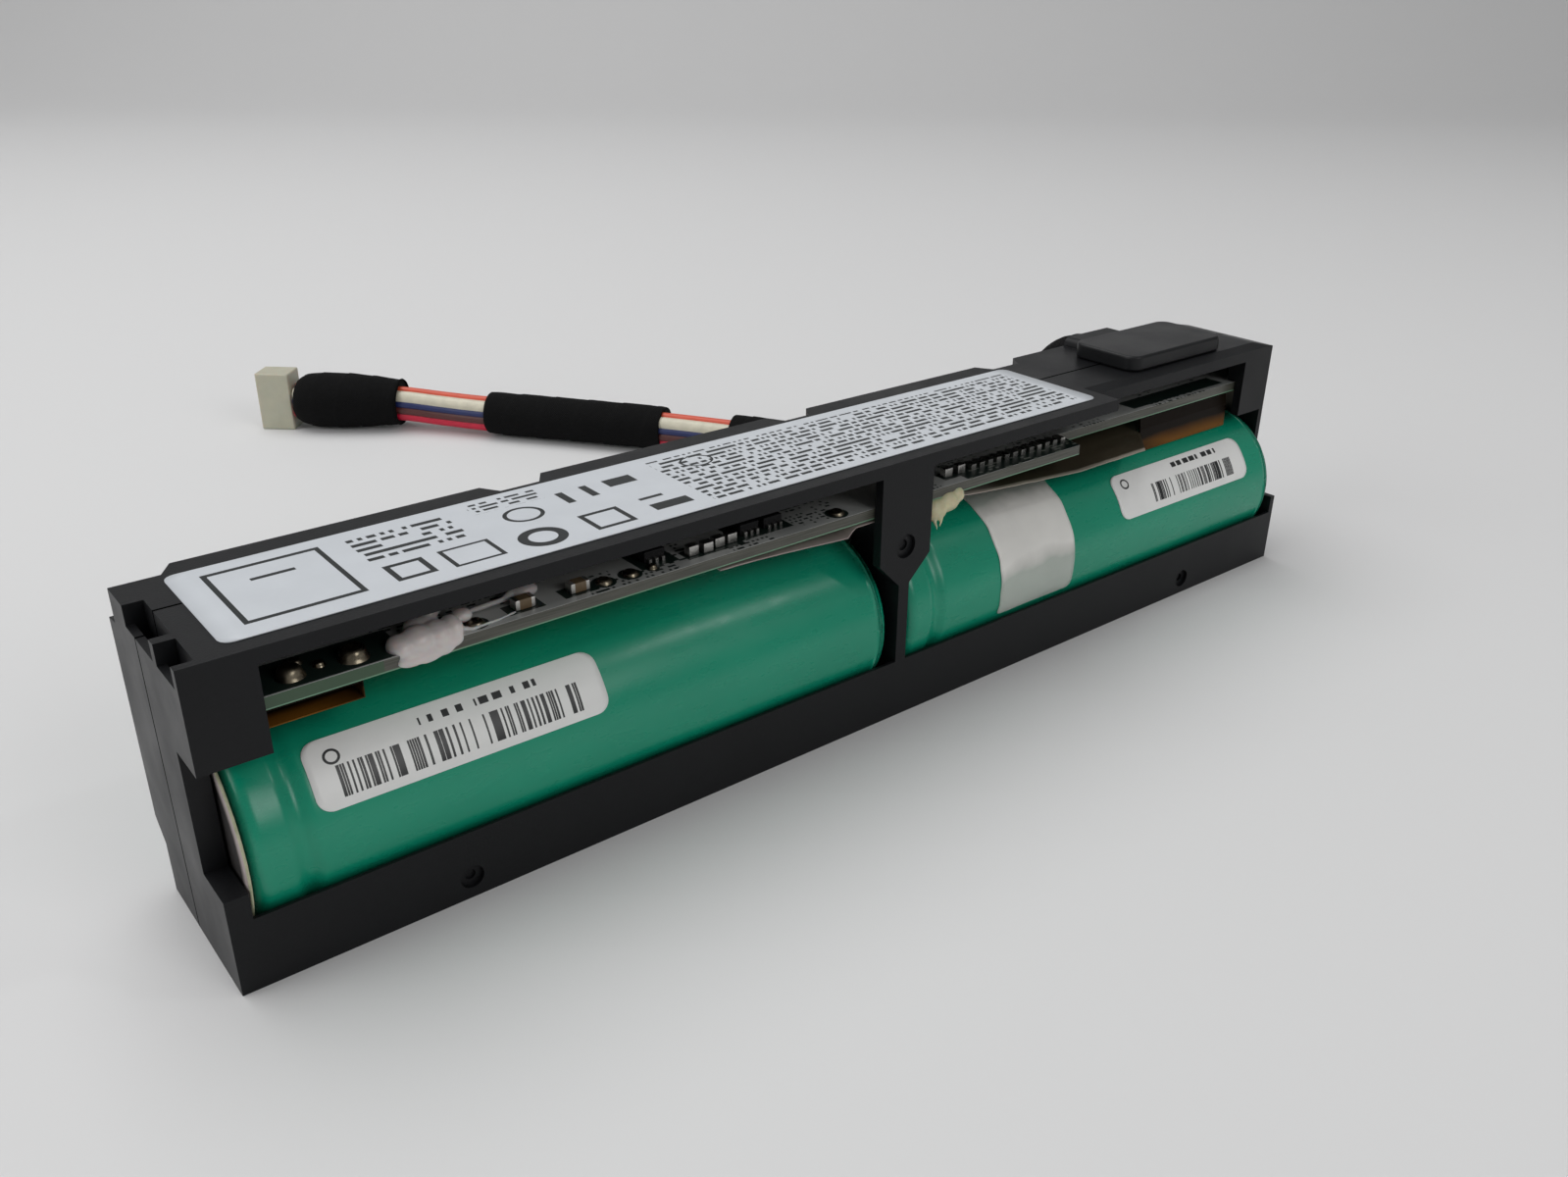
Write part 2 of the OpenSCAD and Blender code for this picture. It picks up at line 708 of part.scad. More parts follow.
// Tape round the bundle along the route's points from a to b
module wrap(a, b, t) {
    n = b - a + 1;
    points = concat([for (i = [a : b]) each ring(i, bundle_r + t)],
        [for (i = [a : b]) each ring(i, bundle_r + 0.02)]);
    o = n * sides;
    outer = tube_walls(n);
    inner = [for (f = outer) [for (j = [2 : -1 : 0]) f[j] + o]];
    start = [for (k = [0 : sides - 1]) let (m = (k + 1) % sides) [k, o + k, o + m, m]];
    e = (n - 1) * sides;
    finish = [for (k = [0 : sides - 1]) let (m = (k + 1) % sides) [e + k, e + m, o + e + m, o + e + k]];
    polyhedron(points, concat(outer, inner, start, finish), convexity = 6);
}

module harness() color("#a8323a") swept(0, len(route) - 1, bundle_r);
module root_wrap() color("#17181a") wrap(1, 11, wrap_t);
module middle_wrap() color("#17181a") wrap(12, 14, wrap_t);
module end_wrap() color("#17181a") wrap(16, 18, end_wrap_t);

// Moves a part drawn along +x from the end of the route
module at_plug() {
    last = len(route) - 1;
    d = route_dir(last);
    translate([route[last].x, route[last].y, 0]) rotate([0, 0, atan2(d.y, d.x)]) children();
}

module plug_housing() color("#d8d2bd") at_plug() difference() {
    box([0.4, -plug_w / 2, 0], [plug_l, plug_w / 2, plug_h]);
    for (k = [0 : 3]) box([plug_l - 5, -1, 1 + 2 * k], [plug_l + 1, 1, 2.4 + 2 * k]);
}

module plug_contacts() color("#c9a24a") at_plug()
    for (k = [0 : 3]) box([plug_l - 5, -0.3, 1.4 + 2 * k], [plug_l - 1, 0.3, 2 + 2 * k]);

front_frame();
rear_frame();
left_can();
right_can();
left_sleeve();
right_sleeve();
cell_gaskets();
cell_caps();
left_insulator();
left_tab();
link_strip();
right_tab();
circuit_board();
board_sheet();
solder_joints();
solder_pads();
controller_chip();
power_chips();
chip_legs();
chip_capacitors();
chip_resistors();
pin_row();
sense_fuse();
wire_lugs();
silicone_bead();
glue_bead();
left_amber_tape();
right_amber_tape();
white_tape();
thermistor();
top_label();
left_cell_label();
right_cell_label();
bumper_pad();
harness();
root_wrap();
middle_wrap();
end_wrap();
plug_housing();
plug_contacts();
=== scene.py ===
import json
import math
import bmesh
import bpy
from mathutils import Vector, noise
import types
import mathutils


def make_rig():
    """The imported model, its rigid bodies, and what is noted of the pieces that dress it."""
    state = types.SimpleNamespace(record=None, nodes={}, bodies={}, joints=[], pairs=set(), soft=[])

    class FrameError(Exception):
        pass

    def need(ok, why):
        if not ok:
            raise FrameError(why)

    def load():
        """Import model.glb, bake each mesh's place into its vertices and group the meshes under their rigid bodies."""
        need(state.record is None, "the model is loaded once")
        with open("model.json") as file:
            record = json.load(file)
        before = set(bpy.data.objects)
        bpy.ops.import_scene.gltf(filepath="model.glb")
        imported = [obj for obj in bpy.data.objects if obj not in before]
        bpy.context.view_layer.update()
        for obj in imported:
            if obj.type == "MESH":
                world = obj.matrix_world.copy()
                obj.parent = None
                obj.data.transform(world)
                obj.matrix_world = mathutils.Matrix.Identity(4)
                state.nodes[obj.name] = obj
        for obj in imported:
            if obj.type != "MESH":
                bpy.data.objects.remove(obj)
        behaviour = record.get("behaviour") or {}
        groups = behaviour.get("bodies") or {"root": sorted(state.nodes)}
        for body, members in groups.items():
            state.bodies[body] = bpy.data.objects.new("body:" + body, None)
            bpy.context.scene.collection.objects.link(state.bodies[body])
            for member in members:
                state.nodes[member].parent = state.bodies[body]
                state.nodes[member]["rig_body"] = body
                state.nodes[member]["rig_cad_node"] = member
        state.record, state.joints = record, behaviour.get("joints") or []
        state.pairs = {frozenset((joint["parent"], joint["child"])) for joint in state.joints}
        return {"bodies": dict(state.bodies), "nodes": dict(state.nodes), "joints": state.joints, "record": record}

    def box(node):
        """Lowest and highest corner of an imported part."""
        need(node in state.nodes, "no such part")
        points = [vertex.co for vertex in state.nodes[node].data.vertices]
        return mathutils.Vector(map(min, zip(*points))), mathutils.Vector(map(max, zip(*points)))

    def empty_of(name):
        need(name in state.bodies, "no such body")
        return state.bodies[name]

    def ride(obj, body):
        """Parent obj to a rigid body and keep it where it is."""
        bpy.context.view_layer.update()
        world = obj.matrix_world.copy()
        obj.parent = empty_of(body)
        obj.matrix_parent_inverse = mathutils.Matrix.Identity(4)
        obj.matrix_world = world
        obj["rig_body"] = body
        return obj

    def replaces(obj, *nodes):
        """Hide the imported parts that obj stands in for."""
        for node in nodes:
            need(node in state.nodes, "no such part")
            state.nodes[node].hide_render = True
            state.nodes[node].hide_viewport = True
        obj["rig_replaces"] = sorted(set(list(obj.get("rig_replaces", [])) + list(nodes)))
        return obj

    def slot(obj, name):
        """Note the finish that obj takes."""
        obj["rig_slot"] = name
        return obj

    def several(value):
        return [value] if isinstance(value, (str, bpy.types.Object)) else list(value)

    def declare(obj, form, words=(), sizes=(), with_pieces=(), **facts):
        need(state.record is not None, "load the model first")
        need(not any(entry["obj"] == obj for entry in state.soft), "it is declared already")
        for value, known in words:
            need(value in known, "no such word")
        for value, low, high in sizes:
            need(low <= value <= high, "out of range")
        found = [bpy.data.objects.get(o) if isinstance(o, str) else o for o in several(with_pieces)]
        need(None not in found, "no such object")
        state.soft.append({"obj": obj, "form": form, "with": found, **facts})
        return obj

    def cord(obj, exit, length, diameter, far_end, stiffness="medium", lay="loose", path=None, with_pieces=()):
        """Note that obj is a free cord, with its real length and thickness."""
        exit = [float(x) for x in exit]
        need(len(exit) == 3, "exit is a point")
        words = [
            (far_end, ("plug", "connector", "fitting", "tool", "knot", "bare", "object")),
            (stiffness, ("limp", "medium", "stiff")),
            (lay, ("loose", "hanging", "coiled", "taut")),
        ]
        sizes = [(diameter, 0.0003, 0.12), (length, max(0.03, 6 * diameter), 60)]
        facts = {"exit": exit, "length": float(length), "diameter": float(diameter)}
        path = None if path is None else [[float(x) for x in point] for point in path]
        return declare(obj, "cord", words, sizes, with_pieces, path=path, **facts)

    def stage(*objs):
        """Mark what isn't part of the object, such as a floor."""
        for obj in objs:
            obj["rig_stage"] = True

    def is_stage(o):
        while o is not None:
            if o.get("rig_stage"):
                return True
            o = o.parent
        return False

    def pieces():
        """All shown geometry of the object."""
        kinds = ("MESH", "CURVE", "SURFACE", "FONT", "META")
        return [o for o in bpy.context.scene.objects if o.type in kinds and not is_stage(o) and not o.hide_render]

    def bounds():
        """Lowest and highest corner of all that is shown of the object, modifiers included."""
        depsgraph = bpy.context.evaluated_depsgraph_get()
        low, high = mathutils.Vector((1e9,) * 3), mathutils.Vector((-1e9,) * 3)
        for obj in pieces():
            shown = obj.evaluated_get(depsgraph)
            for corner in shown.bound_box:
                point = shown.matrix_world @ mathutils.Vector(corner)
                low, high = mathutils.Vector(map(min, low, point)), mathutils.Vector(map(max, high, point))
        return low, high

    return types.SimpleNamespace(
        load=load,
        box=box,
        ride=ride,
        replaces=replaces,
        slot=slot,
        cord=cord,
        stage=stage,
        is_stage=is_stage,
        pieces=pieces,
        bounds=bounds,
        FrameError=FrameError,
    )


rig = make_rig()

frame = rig.load()
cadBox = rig.bounds()
print("model loaded:", len(frame["nodes"]), "nodes")

mm = 0.001
left, face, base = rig.box("front_frame")[0]


def at(x, y, z):
    # millimetres from the left end, the front face and the underside
    return Vector((left + x * mm, face + y * mm, base + z * mm))


def clamp(value):
    return max(0.0, min(1.0, value))


def cellAxis(node):
    # the middle's y and z, and the radius, of a round piece that lies along the frame
    low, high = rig.box(node)
    return (low.y + high.y) / 2, (low.z + high.z) / 2, (high.z - low.z) / 2


def linked(name, data):
    made = bpy.data.objects.new(name, data)
    bpy.context.collection.objects.link(made)
    return made


def addObject(name, mesh, smooth=True):
    for polygon in mesh.polygons:
        polygon.use_smooth = smooth
    return linked(name, mesh)


# node and material helpers

def addNode(tree, kind, inputs=None, **settings):
    # inputs maps a socket's name or number to a value or to another node's output
    made = tree.nodes.new(kind)
    for key, value in settings.items():
        setattr(made, key, value)
    for key, value in (inputs or {}).items():
        if isinstance(value, bpy.types.NodeSocket):
            tree.links.new(value, made.inputs[key])
        else:
            made.inputs[key].default_value = value
    return made


def startMaterial(name, colour, roughness, metallic=0.0, **sockets):
    material = bpy.data.materials.new(name)
    material.use_nodes = True
    tree = material.node_tree
    shader = tree.nodes["Principled BSDF"]
    shader.inputs["Base Color"].default_value = (*colour, 1)
    shader.inputs["Roughness"].default_value = roughness
    shader.inputs["Metallic"].default_value = metallic
    for key, value in sockets.items():
        shader.inputs[key.replace("_", " ")].default_value = value
    return material, tree, shader


def objectPoint(tree, stretch=(1, 1, 1)):
    place = addNode(tree, "ShaderNodeTexCoord").outputs["Object"]
    return addNode(tree, "ShaderNodeMapping", {"Vector": place, "Scale": stretch}).outputs["Vector"]


def noiseNode(tree, vector, scale, detail=3.0):
    made = addNode(tree, "ShaderNodeTexNoise", {"Vector": vector, "Scale": scale, "Detail": detail})
    return made.outputs["Fac"]


def remap(tree, value, low, high, a=0.0, b=1.0):
    return addNode(tree, "ShaderNodeMapRange", {
        "Value": value, "From Min": low, "From Max": high, "To Min": a, "To Max": b}).outputs["Result"]


def mathNode(tree, operation, first, second=0.0):
    return addNode(tree, "ShaderNodeMath", {0: first, 1: second}, operation=operation).outputs[0]


def mixColour(tree, factor, first, second):
    made = addNode(tree, "ShaderNodeMix", {"Factor": factor}, data_type="RGBA")
    for index, colour in ((6, first), (7, second)):
        if isinstance(colour, bpy.types.NodeSocket):
            tree.links.new(colour, made.inputs[index])
        else:
            made.inputs[index].default_value = (*colour, 1)
    return made.outputs[2]


def scaled(colour, share):
    return [c * share for c in colour]


noiseSpan = (0.3, 0.7)  # where a noise texture's values mostly lie


def mottled(tree, value, first, second):
    return mixColour(tree, remap(tree, value, *noiseSpan), first, second)


def paint(tree, shader, tone):
    tree.links.new(tone, shader.inputs["Base Color"])


def addBump(tree, shader, height, distance):
    bump = addNode(tree, "ShaderNodeBump", {"Height": height, "Distance": distance})
    tree.links.new(bump.outputs["Normal"], shader.inputs["Normal"])


# camera, floor and light; places and lengths are in metres here

camera = {"place": (-0.0871, -0.0988, 0.0743), "turn": (64.52, -0.44, -38.67), "lens": 30.85,
          "clipStart": 0.005}

backdrop = {"colour": (0.71, 0.71, 0.712), "shade": 0.985, "roughness": 0.7, "cloudScale": 4.0, "turn": -38,
            "halfWidth": 1.6, "near": -0.9, "bendAt": 0.58, "bendRadius": 0.35, "bendSteps": 12, "top": 1.2}

studio = {
    "world": 0.23,
    "top": {"place": (-0.10, 0.28, 0.75), "size": 0.8, "watts": 4.0},
    "side": {"place": (-0.75, 0.15, 0.35), "size": 0.6, "watts": 1.8},
    "front": {"place": (0.15, -0.8, 0.5), "size": 0.5, "watts": 1.75},
    "streak": {"place": (0.30, -0.28, 0.47), "size": 0.03, "watts": 0.15},
}


def makeCamera():
    data = bpy.data.cameras.new("camera")
    data.lens = camera["lens"]
    data.clip_start = camera["clipStart"]
    eye = linked("camera", data)
    eye.location = camera["place"]
    eye.rotation_euler = [math.radians(a) for a in camera["turn"]]
    bpy.context.scene.camera = eye


def makeLamp(name, place, size, watts):
    data = bpy.data.lights.new(name, "AREA")
    data.shape = "DISK"
    data.size = size
    data.energy = watts
    lamp = linked(name, data)
    lamp.location = place
    lamp.rotation_euler = (-Vector(place)).to_track_quat("-Z", "Y").to_euler()


def makeStage():
    # a floor that curves up into a back wall
    bendAt, radius, steps = backdrop["bendAt"], backdrop["bendRadius"], backdrop["bendSteps"]
    rows = [(backdrop["near"], 0.0), (bendAt, 0.0)]
    for i in range(1, steps + 1):
        a = i * math.pi / (2 * steps)
        rows.append((bendAt + radius * math.sin(a), radius - radius * math.cos(a)))
    rows.append((bendAt + radius, backdrop["top"]))
    turn = math.radians(backdrop["turn"])
    verts = []
    for depth, height in rows:
        for across in (-backdrop["halfWidth"], backdrop["halfWidth"]):
            x = across * math.cos(turn) - depth * math.sin(turn)
            y = across * math.sin(turn) + depth * math.cos(turn)
            verts.append((x, y, height))
    faces = [(2 * i, 2 * i + 1, 2 * i + 3, 2 * i + 2) for i in range(len(rows) - 1)]
    mesh = bpy.data.meshes.new("floor")
    mesh.from_pydata(verts, [], faces)
    floor = addObject("floor", mesh)
    material, tree, shader = startMaterial("paperFloor", backdrop["colour"], backdrop["roughness"])
    cloud = noiseNode(tree, objectPoint(tree), backdrop["cloudScale"])
    shade = scaled(backdrop["colour"], backdrop["shade"])
    paint(tree, shader, mixColour(tree, cloud, shade, backdrop["colour"]))
    mesh.materials.append(material)
    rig.stage(floor)


def makeLight():
    world = bpy.data.worlds.new("softRoom")
    world.use_nodes = True
    bpy.context.scene.world = world
    back = world.node_tree.nodes["Background"]
    back.inputs["Color"].default_value = (1.0, 1.0, 1.0, 1)
    back.inputs["Strength"].default_value = studio["world"]
    for name in ("top", "side", "front", "streak"):
        makeLamp(name + "Lamp", **studio[name])
    bpy.context.scene.view_settings.view_transform = "Standard"


makeCamera()
makeStage()
makeLight()
print("camera, floor and light are set")


# mesh helpers

def evaluatedMesh(piece):
    bpy.context.view_layer.update()
    graph = bpy.context.evaluated_depsgraph_get()
    return bpy.data.meshes.new_from_object(piece.evaluated_get(graph), depsgraph=graph)


def settle(piece):
    # turns the live modifiers into a plain mesh
    mesh = evaluatedMesh(piece)
    piece.modifiers.clear()
    piece.data = mesh


def attach(piece, slotName, node):
    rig.ride(piece, "root")
    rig.slot(piece, slotName)
    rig.replaces(piece, node)
    return piece


def joinMeshes(name, pieces):
    # one object from several settled ones, with their materials kept
    merged = bmesh.new()
    materials = []
    for piece in pieces:
        first = len(merged.faces)
        offset = len(materials)
        materials += list(piece.data.materials)
        merged.from_mesh(piece.data)
        merged.faces.ensure_lookup_table()
        for polygon in merged.faces[first:]:
            polygon.material_index += offset
        bpy.data.objects.remove(piece)
    mesh = bpy.data.meshes.new(name)
    merged.to_mesh(mesh)
    merged.free()
    for material in materials:
        mesh.materials.append(material)
    return linked(name, mesh)


rounding = {"weld": 1e-6, "flatAngle": 0.5, "edgeAngle": 35}  # metres and degrees


def softened(node, width, material, slotName, segments=2):
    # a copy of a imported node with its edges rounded
    mesh = frame["nodes"][node].data.copy()
    work = bmesh.new()
    work.from_mesh(mesh)
    bmesh.ops.remove_doubles(work, verts=work.verts, dist=rounding["weld"])
    flat = math.radians(rounding["flatAngle"])
    bmesh.ops.dissolve_limit(work, angle_limit=flat, verts=work.verts, edges=work.edges)
    work.to_mesh(mesh)
    work.free()
    mesh.materials.clear()
    mesh.materials.append(material)
    piece = addObject(node + "_soft", mesh, smooth=False)
    bevel = piece.modifiers.new("edges", "BEVEL")
    bevel.width = width * mm
    bevel.segments = segments
    bevel.limit_method = "ANGLE"
    bevel.angle_limit = math.radians(rounding["edgeAngle"])
    bevel.harden_normals = True
    settle(piece)
    return attach(piece, slotName, node)


def gridPiece(name, rows, material, thickness=0.0, loop=False, uvs=None):
    # a sheet through rows of points; loop joins each row's ends
    count = len(rows[0])
    verts = [p for row in rows for p in row]
    faces = []
    for i in range(len(rows) - 1):
        for j in range(count if loop else count - 1):
            k = (j + 1) % count
            faces.append((i * count + j, i * count + k, (i + 1) * count + k, (i + 1) * count + j))
    mesh = bpy.data.meshes.new(name)
    mesh.from_pydata(verts, [], faces)
    if uvs:
        flat = [uv for row in uvs for uv in row]
        layer = mesh.uv_layers.new(name="UVMap")
        for item in mesh.loops:
            layer.data[item.index].uv = flat[item.vertex_index]
    mesh.materials.append(material)
    piece = addObject(name, mesh)
    if thickness:
        solid = piece.modifiers.new("wall", "SOLIDIFY")
        solid.thickness = thickness * mm
        solid.offset = -1
        solid.use_even_offset = False
        settle(piece)
    return piece


def roundedSheet(name, length, width, corner, place, material, thickness, stepsX=48, stepsY=24):
    # rows across the width; near the corners each row is drawn in by the corner's arc
    rows, uvs = [], []
    for i in range(stepsY + 1):
        v = width * 0.5 * (1 - math.cos(math.pi * i / stepsY))
        edge = min(v, width - v)
        inset = corner - math.sqrt(max(0.0, corner ** 2 - max(0.0, corner - edge) ** 2))
        row, uvRow = [], []
        for j in range(stepsX + 1):
            u = inset + (length - 2 * inset) * j / stepsX
            row.append(place(u, v))
            uvRow.append((u, v))
        rows.append(row)
        uvs.append(uvRow)
    return gridPiece(name, rows, material, thickness, uvs=uvs)


# pattern helpers; places on the frame or a sheet are in millimetres

def sheetPlace(tree):
    # the piece's own UV map, which holds millimetres
    uv = addNode(tree, "ShaderNodeUVMap", uv_map="UVMap").outputs["UV"]
    parts = addNode(tree, "ShaderNodeSeparateXYZ", {"Vector": uv}).outputs
    return parts["X"], parts["Y"]


def inRange(tree, value, low, high):
    return mathNode(tree, "MULTIPLY", mathNode(tree, "GREATER_THAN", value, low),
                    mathNode(tree, "LESS_THAN", value, high))


def fold(tree, operation, values):
    # one operation over a whole list of values
    total = values[0]
    for value in values[1:]:
        total = mathNode(tree, operation, total, value)
    return total


def randomValue(tree, x, y, z=0.0):
    key = addNode(tree, "ShaderNodeCombineXYZ", {"X": x, "Y": y, "Z": z}).outputs["Vector"]
    return addNode(tree, "ShaderNodeTexWhiteNoise", {"Vector": key}, noise_dimensions="3D").outputs["Value"]


def stepped(tree, value, pitch):
    # the number of the cell that a value falls in, and its share of the way through it
    turns = mathNode(tree, "DIVIDE", value, pitch)
    return mathNode(tree, "FLOOR", turns), mathNode(tree, "FRACT", turns)


def randomDashes(tree, u, v, pitch, rowHeight, fill, seed):
    # rows of short dashes: a random cell along each row is either ink or bare
    cell = stepped(tree, u, pitch)[0]
    row, inside = stepped(tree, v, rowHeight)
    ink = mathNode(tree, "LESS_THAN", randomValue(tree, cell, row, seed), fill)
    return mathNode(tree, "MULTIPLY", ink, inRange(tree, inside, 0.28, 0.78))


def spread(tree, x, y, middleX, middleY, half, deep, square):
    # distance from a middle as a share of its half sizes, counted by a box when square, else by an oval
    across = mathNode(tree, "DIVIDE", mathNode(tree, "SUBTRACT", x, middleX), half)
    along = mathNode(tree, "DIVIDE", mathNode(tree, "SUBTRACT", y, middleY), deep)
    if square:
        return mathNode(tree, "MAXIMUM", *[mathNode(tree, "ABSOLUTE", part) for part in (across, along)])
    squares = [mathNode(tree, "MULTIPLY", part, part) for part in (across, along)]
    return mathNode(tree, "SQRT", mathNode(tree, "ADD", *squares))


def nearest(tree, x, y, spots, square=False):
    # smallest spread from the spots (x, y, half width, half depth)
    return fold(tree, "MINIMUM", [spread(tree, x, y, *spot, square) for spot in spots])


def ringMark(tree, u, v, x, y, half, high, line, square):
    # plain outline round a place
    return inRange(tree, spread(tree, u, v, x, y, half, high, square), 1 - line / half, 1.0)


def barMark(tree, u, v, x0, x1, y0, y1):
    return mathNode(tree, "MULTIPLY", inRange(tree, u, x0, x1), inRange(tree, v, y0, y1))


def frameMillimetres(tree):
    # x, y and z in millimetres from the left end, the front face and the underside
    parts = addNode(tree, "ShaderNodeSeparateXYZ", {"Vector": objectPoint(tree)}).outputs
    return [mathNode(tree, "DIVIDE", mathNode(tree, "SUBTRACT", part, start), mm)
            for part, start in zip(parts, (left, face, base))]


# plain finishes; a pattern's depth is in metres

# the seam's half width and colour give the painted shade along the parting line
plastic = {"cloudScale": 160, "shades": (0.9, 1.12), "roughSpread": (-0.05, 0.06), "grainDepth": 0.000012,
           "seamHalf": 0.13, "seamShadeColour": (0.0005, 0.0005, 0.0005)}


def mouldedPlastic(name, colour, roughness, grain=5200, shine=0.2):
    material, tree, shader = startMaterial(name, colour, roughness, Specular_IOR_Level=shine)
    point = objectPoint(tree)
    fine = noiseNode(tree, point, grain, 2)
    broad = noiseNode(tree, point, plastic["cloudScale"], 4)
    paint(tree, shader, mottled(tree, broad, *[scaled(colour, share) for share in plastic["shades"]]))
    limits = [roughness + step for step in plastic["roughSpread"]]
    tree.links.new(remap(tree, broad, *noiseSpan, *limits), shader.inputs["Roughness"])
    addBump(tree, shader, fine, plastic["grainDepth"])
    return material


def framePlastic(name, colour, roughness):
    # moulded plastic with painted shade along the parting line where the two halves meet, standing in for the shadow
    # in the gap
    material = mouldedPlastic(name, colour, roughness)
    tree = material.node_tree
    shader = tree.nodes["Principled BSDF"]
    y = frameMillimetres(tree)[1]
    meeting = (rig.box("front_frame")[1].y - face) / mm
    away = mathNode(tree, "ABSOLUTE", mathNode(tree, "SUBTRACT", y, meeting))
    # painted shade: a thin dark line without shine where the halves meet, for the shadow in the gap
    seamShade = mathNode(tree, "LESS_THAN", away, plastic["seamHalf"])
    tone = shader.inputs["Base Color"].links[0].from_socket
    paint(tree, shader, mixColour(tree, seamShade, tone, plastic["seamShadeColour"]))
    shine = shader.inputs["Specular IOR Level"]
    tree.links.new(remap(tree, seamShade, 0.0, 1.0, shine.default_value, 0.0), shine)
    return material


metalLook = {"shade": 0.75, "roughSpread": (-0.08, 0.12), "depth": 0.00002}


def metal(name, colour, roughness, scale=700, stretch=(1, 1, 1)):
    material, tree, shader = startMaterial(name, colour, roughness, 1.0)
    mottle = noiseNode(tree, objectPoint(tree, stretch), scale, 4)
    paint(tree, shader, mottled(tree, mottle, scaled(colour, metalLook["shade"]), colour))
    limits = [roughness + step for step in metalLook["roughSpread"]]
    tree.links.new(remap(tree, mottle, *noiseSpan, *limits), shader.inputs["Roughness"])
    addBump(tree, shader, mottle, metalLook["depth"])
    return material


def gloss(name, colour, roughness, scale=600, depth=0.00002, contrast=0.12, **sockets):
    # coloured plastic, ceramic, glue or sealant with faint mottling
    material, tree, shader = startMaterial(name, colour, roughness, **sockets)
    mottle = noiseNode(tree, objectPoint(tree), scale, 4)
    paint(tree, shader, mottled(tree, mottle, scaled(colour, 1 - contrast), scaled(colour, 1 + contrast)))
    addBump(tree, shader, mottle, depth)
    return material


blackPlastic = framePlastic("blackPlastic", (0.0078, 0.0082, 0.0093), 0.4)
padRubber = mouldedPlastic("padRubber", (0.0085, 0.009, 0.010), 0.36, 6500, 0.24)
chipBlack = mouldedPlastic("chipBlack", (0.012, 0.012, 0.013), 0.45, 9000)
canSteel = metal("canSteel", (0.62, 0.62, 0.63), 0.3)
nickel = metal("nickel", (0.64, 0.63, 0.60), 0.32, 500, (1, 8, 1))
# painted shade: a darkened copy of nickel for the right tab, which lies in shade
shadedNickel = metal("shadedNickel", (0.12, 0.11, 0.09), 0.5, 500)
solderMetal = metal("solderMetal", (0.26, 0.225, 0.165), 0.3, 900)
tinnedMetal = metal("tinnedMetal", (0.66, 0.65, 0.62), 0.3, 900)
goldContact = metal("goldContact", (0.75, 0.52, 0.22), 0.25)
sealBlack = gloss("sealBlack", (0.02, 0.02, 0.02), 0.5)
paleCeramic = gloss("paleCeramic", (0.55, 0.55, 0.5), 0.35)
sealant = gloss("sealant", (0.62, 0.57, 0.555), 0.26, 350, 0.00006, 0.05,
                Subsurface_Weight=0.3, Subsurface_Scale=0.002)
hardGlue = gloss("hardGlue", (0.60, 0.56, 0.36), 0.4, 900, 0.00008, 0.1,
                 Subsurface_Weight=0.25, Subsurface_Scale=0.0015)
plugNylon = gloss("plugNylon", (0.46, 0.45, 0.35), 0.4, 500, 0.00002, 0.05,
                  Subsurface_Weight=0.2, Subsurface_Scale=0.002)
print("plain finishes are made")


# harness

cloth = {"colour": (0.0028, 0.0028, 0.003), "shades": (0.7, 1.7), "roughness": 0.8, "shine": 0.12,
         "warp": 0.34, "weft": 0.4, "depth": 0.00006}


def clothTape(name):
    # woven tape; UV runs along and round the bundle
    material, tree, shader = startMaterial(name, cloth["colour"], cloth["roughness"],
                                           Specular_IOR_Level=cloth["shine"])
    u, v = sheetPlace(tree)
    warp = mathNode(tree, "SINE", mathNode(tree, "MULTIPLY", u, 2 * math.pi / cloth["warp"]))
    weft = mathNode(tree, "SINE", mathNode(tree, "MULTIPLY", v, 2 * math.pi / cloth["weft"]))
    weave = mathNode(tree, "MULTIPLY", warp, weft)
    fuzz = noiseNode(tree, objectPoint(tree), 1500, 4)
    height = mathNode(tree, "ADD", mathNode(tree, "MULTIPLY", weave, 0.5), fuzz)
    low, high = [scaled(cloth["colour"], share) for share in cloth["shades"]]
    paint(tree, shader, mixColour(tree, remap(tree, height, 0.0, 1.2), low, high))
    addBump(tree, shader, height, cloth["depth"])
    return material


blackCloth = clothTape("blackCloth")

# the bundle's route, from the hood to the plug
route = [
    (50, 9.4, 26.2), (50.2, 11.8, 25.5), (50.8, 14.2, 23.6), (51.5, 16.3, 20.6), (52.2, 18.2, 16.9),
    (52.8, 20.4, 12.9), (53, 23.6, 9.2), (52.4, 28.4, 6.2), (50.4, 35.6, 4.4), (46.6, 44.4, 3.8),
    (41.6, 54.2, 3.7), (35, 65.6, 3.7), (28.4, 75.6, 3.7), (19.5, 87.6, 3.7), (10, 100, 3.7),
    (5, 106.6, 3.9), (0, 112, 4.4), (-6, 117, 4.6), (-12.8, 122.6, 4.7), (-13.8, 123.5, 4.8),
]

# angle round the bundle in degrees, distance from its middle and radius in millimetres
wires = {
    "orangeWire": {"angle": 106, "out": 2.25, "radius": 0.75, "colour": (0.62, 0.075, 0.03)},
    "whiteWire": {"angle": 141, "out": 2.0, "radius": 1.15, "colour": (0.62, 0.58, 0.46)},
    "blueWire": {"angle": 171, "out": 2.3, "radius": 0.62, "colour": (0.008, 0.018, 0.10)},
    "brownWire": {"angle": 197, "out": 2.1, "radius": 0.85, "colour": (0.085, 0.018, 0.016)},
    "crimsonWire": {"angle": 231, "out": 2.0, "radius": 1.2, "colour": (0.60, 0.010, 0.045)},
    "blackWire": {"angle": 20, "out": 1.9, "radius": 1.25, "colour": (0.015, 0.015, 0.016)},
}

bundle = {"radius": 3.2, "step": 1.2, "sway": 0.2, "swayScale": 22.0, "wireSides": 20,
          "tapeStep": 0.25, "tapeSides": 56, "tapeLumps": 260.0, "tapeRough": 0.18}

